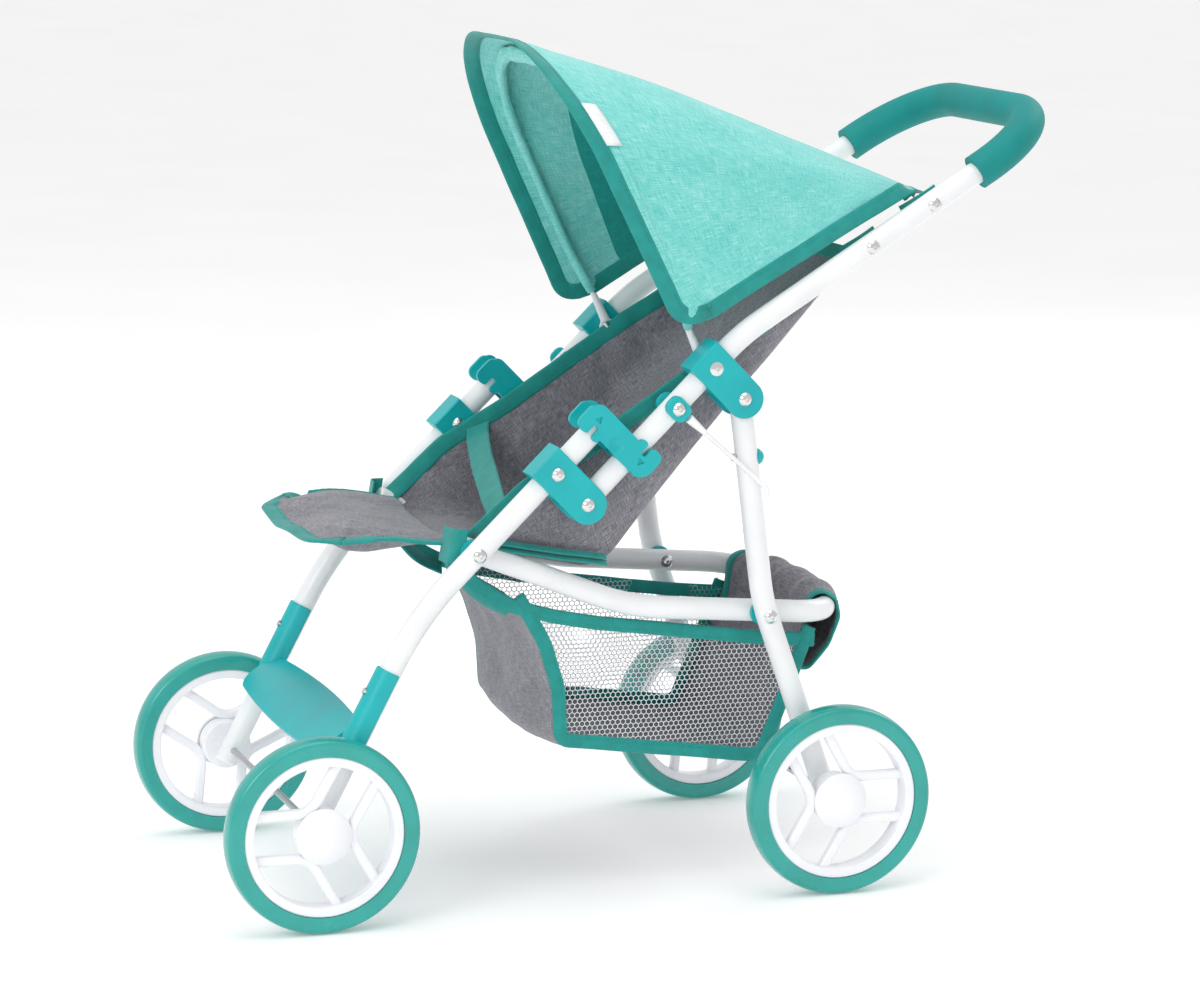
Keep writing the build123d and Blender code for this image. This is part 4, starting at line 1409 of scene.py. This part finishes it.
@dataclass
class Basket(Softs):
    """The basket under the seat: one grey sheet below, a net on each side."""

    outline: tuple[Place, ...] = (
        (154.0, 219.0),
        (174.0, 186.0),
        (185.0, 152.0),
        (188.0, 110.0),
        (350.0, 88.0),
        (374.0, 148.0),
        (388.0, 186.0),
    )
    rim: tuple[Place, ...] = (
        (154.0, 219.0),
        (185.0, 210.0),
        (220.0, 203.0),
        (266.0, 197.0),
        (338.0, 187.0),
        (388.0, 182.0),
    )
    hanger: tuple[Place, ...] = ((113.0, 254.0), (116.0, 246.0), (134.0, 231.0))
    half_width: float = 92.0
    cell: float = 3.9
    thread: float = 0.33
    across: int = 44
    along: int = 120
    tape: Binding = field(default_factory=lambda: Binding(width=9.5 * MM, half_thickness=1.1 * MM))

    def __post_init__(self) -> None:
        """Work out the side-view lines once."""
        self._outline = spread(rounded(self.outline, [60.0, 60.0, 12.0, 14.0, 60.0]), 300)
        self._rim = spread(rounded(self.rim, [40.0, 60.0, 60.0, 80.0]), 200)

    def surface(self, across: float, along: float) -> np.ndarray:
        """The grey sheet's place in metres: front panel, floor and rear panel.

        Args:
            across: Share from left to right.
            along: Share from front to rear.

        Returns:
            The place in metres.
        """
        place = on_row(self._outline, min(1.0, max(0.0, along)))
        way = on_row(self._outline, min(1.0, along + 0.01)) - on_row(self._outline, max(0.0, along - 0.01))
        out = np.array([way[1], -way[0]]) / (np.linalg.norm(way) + 1e-9)
        u = 2 * min(1.0, max(0.0, across)) - 1
        x = u * self.half_width
        middle = 1 - u * u
        floor = math.exp(-(((along - 0.6) / 0.2) ** 2))
        belly = 8.0 * middle * math.sin(math.pi * min(1.0, max(0.0, along))) ** 0.7
        fold = 2.4 * wobble(x, place[0], place[1], 38.0) * middle + 1.0 * floor * middle
        place = place + out * (belly + fold)
        return space(x, (float(place[0]), float(place[1])))

    def follow(self, piece: bpy.types.Object) -> bpy.types.Object:
        """The cloth rides on the basket frame."""
        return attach(piece, "basket_frame")

    def settle(self, piece: bpy.types.Object, *nodes: str) -> bpy.types.Object:
        """Ride on the basket frame, and take a mesh of its own."""
        self.finish(piece, *nodes)
        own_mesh(piece)
        return piece

    def build(self) -> None:
        """Make the sheet, nets, bindings, stitches and ties."""
        cut = (2 * self.half_width * MM, line_length(self._outline))
        sheet = sheet_grid("basket_sheet", self.surface, self.across, self.along, cut)
        dress(sheet, Finish.GREY)
        thicken(sheet, 1.0 * MM)
        nets = [self._net(side) for side in (1, -1)]
        edges = []
        for side in (1, -1):
            upper = rounded([*self.hanger, *self.rim], [14.0, 60.0, 60.0, 60.0, 60.0, 60.0, 80.0])
            rim = np.array([space(side * (self.half_width + 0.4), tuple(p)) for p in spread(upper, 110)])
            below = rim - np.array([0, 0, 8 * MM])
            edges.append(Edge.from_lines(rim, below))
            hem = spread(self._outline, 170)
            points = np.array([space(side * (self.half_width + 0.5), tuple(p)) for p in hem])
            centre = space(side * self.half_width, (250.0, 180.0))
            edges.append(Edge.from_lines(points, points + (centre - points) * 0.12))
        front = Edge.of_surface(self.surface, (0.0, 0.0), (1.0, 0.0), (0.0, 0.02), 60)
        edges.append(front)
        tapes = [self.tape.fold(f"basket_tape_{i}", edge) for i, edge in enumerate(edges)]
        binding = join("basket_binding", tapes + self._ties())
        seams = [line for edge in edges for line in self.tape.seams(edge)]
        stitches = Stitching().sew("basket_stitches", seams)
        self.settle(sheet, "basket_bag")
        self.settle(binding)
        self.settle(stitches)
        for net in nets:
            self.settle(net)

    def _inside(self, place: np.ndarray) -> bool:
        """Whether a side-view place is in the net's outline.

        Args:
            place: A place in the side view, in mm.

        Returns:
            Whether it lies in the outline.
        """
        ring = np.concatenate([self._outline, self._rim[::-1]])
        x, y = place
        x0, y0 = ring[:, 0], ring[:, 1]
        x1, y1 = np.roll(x0, -1), np.roll(y0, -1)
        crosses = (y0 > y) != (y1 > y)
        with np.errstate(divide="ignore", invalid="ignore"):
            at = x0 + (y - y0) * (x1 - x0) / (y1 - y0)
        return bool(np.count_nonzero(crosses & (x < at)) % 2)

    def _net(self, side: int) -> bpy.types.Object:
        """A side's hexagonal net, cut to the outline.

        Args:
            side: 1 for the left side and -1 for the right.

        Returns:
            The net.
        """
        pitch = self.cell
        radius = pitch / math.sqrt(3)
        verts: dict[tuple[int, int], int] = {}
        places: list[np.ndarray] = []
        edges: set[tuple[int, int]] = set()

        def corner(y: float, z: float) -> int:
            """The index of a net knot, shared by its cells."""
            key = (round(y * 50), round(z * 50))
            if key not in verts:
                verts[key] = len(places)
                places.append(np.array([y, z]))
            return verts[key]

        for row in range(int(150 / (1.5 * radius)) + 1):
            for column in range(int(270 / pitch) + 1):
                y = 150 + column * pitch + (row % 2) * pitch / 2
                z = 84 + row * 1.5 * radius
                ring = [
                    corner(y + radius * math.cos(math.radians(a)), z + radius * math.sin(math.radians(a)))
                    for a in range(30, 390, 60)
                ]
                edges.update(tuple(sorted(pair)) for pair in zip(ring, ring[1:] + ring[:1]))
        kept = [e for e in edges if self._inside(places[e[0]]) and self._inside(places[e[1]])]
        points = []
        for y, z in places:
            bulge = 3.0 * math.sin(math.pi * min(1, max(0, (y - 155) / 230))) * wobble(y, z, side * 9.0, 60.0)
            points.append(space(side * (self.half_width - 0.6) + bulge, (float(y), float(z))))
        used = sorted({i for e in kept for i in e})
        index = {old: new for new, old in enumerate(used)}
        guide = add_object(
            f"basket_net_{'left' if side > 0 else 'right'}",
            [points[i] for i in used],
            [],
            [(index[a], index[b]) for a, b in sorted(kept)],
        )
        return Repeats.grow(guide, Repeats.threads(), {"Thread radius": self.thread * MM}, Finish.NET)

    def _ties(self) -> list[bpy.types.Object]:
        """The second tapes that hang the front panel's corners from the front pivots.

        Returns:
            The ties.
        """
        ties = []
        tie = Binding(width=12.0 * MM, half_thickness=1.0 * MM)
        for side in (1, -1):
            route = [(155.0, 213.0), (136.0, 222.0), (119.0, 240.0), (114.0, 250.0)]
            path = spread(rounded(route, [60.0, 14.0]), 24)
            sides = np.linspace(self.half_width - 3, self.half_width - 12, 24)
            points = np.array([space(side * x, tuple(p)) for x, p in zip(sides, path)])
            inner = points + np.array([-side * 0.008, -0.003, -0.006])
            ties.append(tie.fold(f"basket_tie_{side}", Edge.from_lines(points, inner)))
        return ties


@dataclass
class Cuff(Softs):
    """The grey sleeve that hangs the basket's rear on the tube's cross piece."""

    ring: tuple[Place, ...] = (
        (384.0, 160.0),
        (389.0, 186.0),
        (391.0, 207.0),
        (403.0, 212.0),
        (415.0, 206.0),
        (417.0, 192.0),
        (410.0, 172.0),
        (393.0, 153.0),
        (384.0, 155.0),
    )
    half_width: float = 82.0
    across: int = 90
    around: int = 72
    tape: Binding = field(default_factory=lambda: Binding(width=8.0 * MM, half_thickness=1.2 * MM))

    def __post_init__(self) -> None:
        """Work out the sleeve's section once."""
        self._ring = spread(rounded(self.ring, [14.0, 12.0, 10.0, 10.0, 14.0, 20.0, 8.0]), 240)

    def surface(self, across: float, along: float) -> np.ndarray:
        """The sleeve's place in metres.

        Args:
            across: Share from left to right.
            along: Share from front to rear.

        Returns:
            The place in metres.
        """
        u = 2 * across - 1
        x = u * self.half_width
        y, z = on_row(self._ring, min(1.0, max(0.0, along)))
        way = on_row(self._ring, min(1.0, along + 0.01)) - on_row(self._ring, max(0.0, along - 0.01))
        out = np.array([way[1], -way[0]]) / (np.linalg.norm(way) + 1e-9)
        out *= -1
        loose = math.sin(math.pi * along)
        gather = 0.9 * math.sin(x / 7.0 + 2 * wobble(x, 0, 0, 20.0)) * loose
        fold = 1.6 * wobble(x * 1.6, along * 90, 2.0, 17.0) * loose
        corner = 5.0 * max(0.0, abs(u) - 0.7) / 0.3
        belly = 5.5 * (1 - u * u) * max(0.0, math.sin(math.pi * (along - 0.25) / 0.75)) if along > 0.25 else 0
        push = gather + fold + belly
        return space(x, (float(y + out[0] * push - corner), float(z + out[1] * push)))

    def follow(self, piece: bpy.types.Object) -> bpy.types.Object:
        """The sleeve rides on the basket's tube."""
        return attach(piece, "basket_frame")

    def build(self) -> None:
        """Make the sleeve and its bound ends."""
        cut = (2 * self.half_width * MM, line_length(self._ring))
        sleeve = sheet_grid("cuff_sleeve", self.surface, self.across, self.around, cut)
        dress(sleeve, Finish.GREY)
        thicken(sleeve, 1.1 * MM)
        edges = [
            Edge.of_surface(self.surface, (1.0, 0.0), (1.0, 1.0), (-0.03, 0.0), 90),
            Edge.of_surface(self.surface, (0.0, 1.0), (0.0, 0.0), (0.03, 0.0), 90),
        ]
        binding = join("cuff_binding", [self.tape.fold(f"cuff_tape_{i}", e) for i, e in enumerate(edges)])
        stitches = Stitching().sew("cuff_stitches", [s for e in edges for s in self.tape.seams(e)])
        self.finish(sleeve, "basket_cuff")
        self.finish(binding)
        self.finish(stitches)


@dataclass
class RivetTabs(Softs):
    """Folded tape tabs that hold the hood's and the seat's corners under the tube's rivets."""

    places: tuple[Place, ...] = ((412.0, 471.0), (459.0, 500.5))
    inset: float = 110.4
    length: float = 30.0
    width: float = 15.0
    angle: float = 32.3

    def follow(self, piece: bpy.types.Object) -> bpy.types.Object:
        """The tabs ride on the handle frame."""
        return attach(piece, "handle_frame")

    def build(self) -> None:
        """Make one tab at each rivet, on the inner side of both tubes."""
        way = np.array([math.cos(math.radians(self.angle)), math.sin(math.radians(self.angle))])
        tabs = []
        tab = Binding(width=self.width * MM, half_thickness=0.7 * MM)
        for side in (1, -1):
            for number, place in enumerate(self.places):
                half = self.length / 2
                steps = [(t, np.array(place) + way * t) for t in np.linspace(-half, half, 16)]
                rise = [2.0 * (2 * t / self.length) ** 2 for t, _ in steps]
                outer = np.array(
                    [
                        space(side * (self.inset - r), (p[0], p[1] - self.width / 2))
                        for r, (_, p) in zip(rise, steps)
                    ]
                )
                inner = outer + np.array([0, 0, self.width * MM])
                tabs.append(tab.fold(f"rivet_tab_{side}_{number}", Edge.from_lines(outer, inner)))
        self.finish(join("rivet_tabs", tabs))


# Frame, stage and camera


@dataclass
class FrameDress:
    """Finishes for the CAD nodes that stay in view."""

    finishes: dict[str, Finish] = field(
        default_factory=lambda: {
            "frame_tube": Finish.TUBE,
            "teal_plastic": Finish.TEAL,
            "white_plastic": Finish.WHITE,
            "wheel_plastic": Finish.WHEEL,
            "tyre": Finish.TYRE,
            "teal_foam": Finish.FOAM,
            "nickel": Finish.NICKEL,
            "steel": Finish.STEEL,
            "white_wire": Finish.TUBE,
            "white_plug": Finish.WHITE,
            "mint_cloth": Finish.MINT,
            "grey_cloth": Finish.GREY,
            "teal_binding": Finish.BINDING,
        }
    )

    def build(self) -> None:
        """Paint every CAD node by its slot in the record."""
        for part in frame["record"]["subparts"]:
            node = frame["nodes"][part["node"]]
            material = self.finishes[part["material_slot"]].material()
            if node.data.materials:
                for index in range(len(node.data.materials)):
                    node.data.materials[index] = material
            else:
                node.data.materials.append(material)


@dataclass
class Studio:
    """A pale floor, soft lights and the camera."""

    azimuth: float = 70.805
    elevation: float = 9.943
    roll: float = 0.975
    distance: float = 2.907
    target: tuple[float, float, float] = (-0.0022, 0.0029, 0.2714)
    focal_share: float = 3.258
    sensor: float = 36.0

    def _camera(self) -> None:
        """The camera, at the viewing angle, with no depth of field."""
        a, e, r = (math.radians(v) for v in (self.azimuth, self.elevation, self.roll))
        back = Vector((math.sin(a) * math.cos(e), -math.cos(a) * math.cos(e), math.sin(e)))
        right = (-back).cross(Vector((0, 0, 1))).normalized()
        up = right.cross(-back)
        right, up = right * math.cos(r) + up * math.sin(r), up * math.cos(r) - right * math.sin(r)
        data = bpy.data.cameras.new("camera")
        data.sensor_width = self.sensor
        data.lens = self.sensor * self.focal_share
        data.clip_end = 50
        camera = bpy.data.objects.new("camera", data)
        axes = Matrix((right, up, back)).transposed().to_4x4()
        camera.matrix_world = Matrix.Translation(Vector(self.target) + back * self.distance) @ axes
        bpy.context.scene.collection.objects.link(camera)
        bpy.context.scene.camera = camera

    def _light(self, name: str, place: Sequence[float], size: float, power: float) -> None:
        """A square soft light aimed at the stroller's middle.

        Args:
            name: The light's name.
            place: Where it stands, in metres.
            size: Its width in metres.
            power: Its power in watts.
        """
        data = bpy.data.lights.new(name, "AREA")
        data.size = size
        data.energy = power
        light = bpy.data.objects.new(name, data)
        light.location = place
        aim = Vector(self.target) - Vector(place)
        light.rotation_euler = aim.to_track_quat("-Z", "Y").to_euler()
        bpy.context.scene.collection.objects.link(light)

    def _sweep(self) -> None:
        """The floor, a plain pale plane."""
        size = 30.0
        floor = add_object(
            "floor", [(-size, -size, 0), (size, -size, 0), (size, size, 0), (-size, size, 0)], [(0, 1, 2, 3)]
        )
        material, tree, shader = new_material("matt_paper_floor")
        where = add_node(tree, "ShaderNodeTexCoord").outputs["Object"]
        grain = add_node(tree, "ShaderNodeTexNoise", inputs={"Vector": where, "Scale": 3.0})
        tint = ramp(tree, grain.outputs["Fac"], [(0.3, "#f6f6f6"), (0.7, "#f9f9f9")])
        tree.links.new(tint, shader.inputs["Base Color"])
        shader.inputs["Roughness"].default_value = 0.9
        shader.inputs["Specular IOR Level"].default_value = 0.1
        # a little light of its own keeps the far floor as pale as the near one
        shader.inputs["Emission Color"].default_value = linear("#ffffff")
        shader.inputs["Emission Strength"].default_value = 0.17
        floor.data.materials.append(material)

    def build(self) -> None:
        """Set the stage."""
        self._sweep()
        self._light("overhead", (0.3, -0.2, 2.6), 2.0, 17)
        self._light("key", (1.7, -2.2, 1.7), 1.2, 21)
        self._light("rim", (-1.2, 2.2, 1.9), 1.2, 14)
        world = bpy.data.worlds.new("pale_room")
        world.use_nodes = True
        world.node_tree.nodes["Background"].inputs["Color"].default_value = linear("#ffffff")
        world.node_tree.nodes["Background"].inputs["Strength"].default_value = 0.78
        bpy.context.scene.world = world
        bpy.context.scene.view_settings.view_transform = "Standard"
        self._camera()


def main() -> None:
    """Build every part of the look in order."""
    logging.basicConfig(level=logging.INFO, format="%(name)s: %(message)s")
    FrameDress().build()
    for part in (Hood(), Seat(), LegFlap(), LapStrap(), Basket(), Cuff(), RivetTabs()):
        part.build()
    Studio().build()


if __name__ == "__main__":
    main()
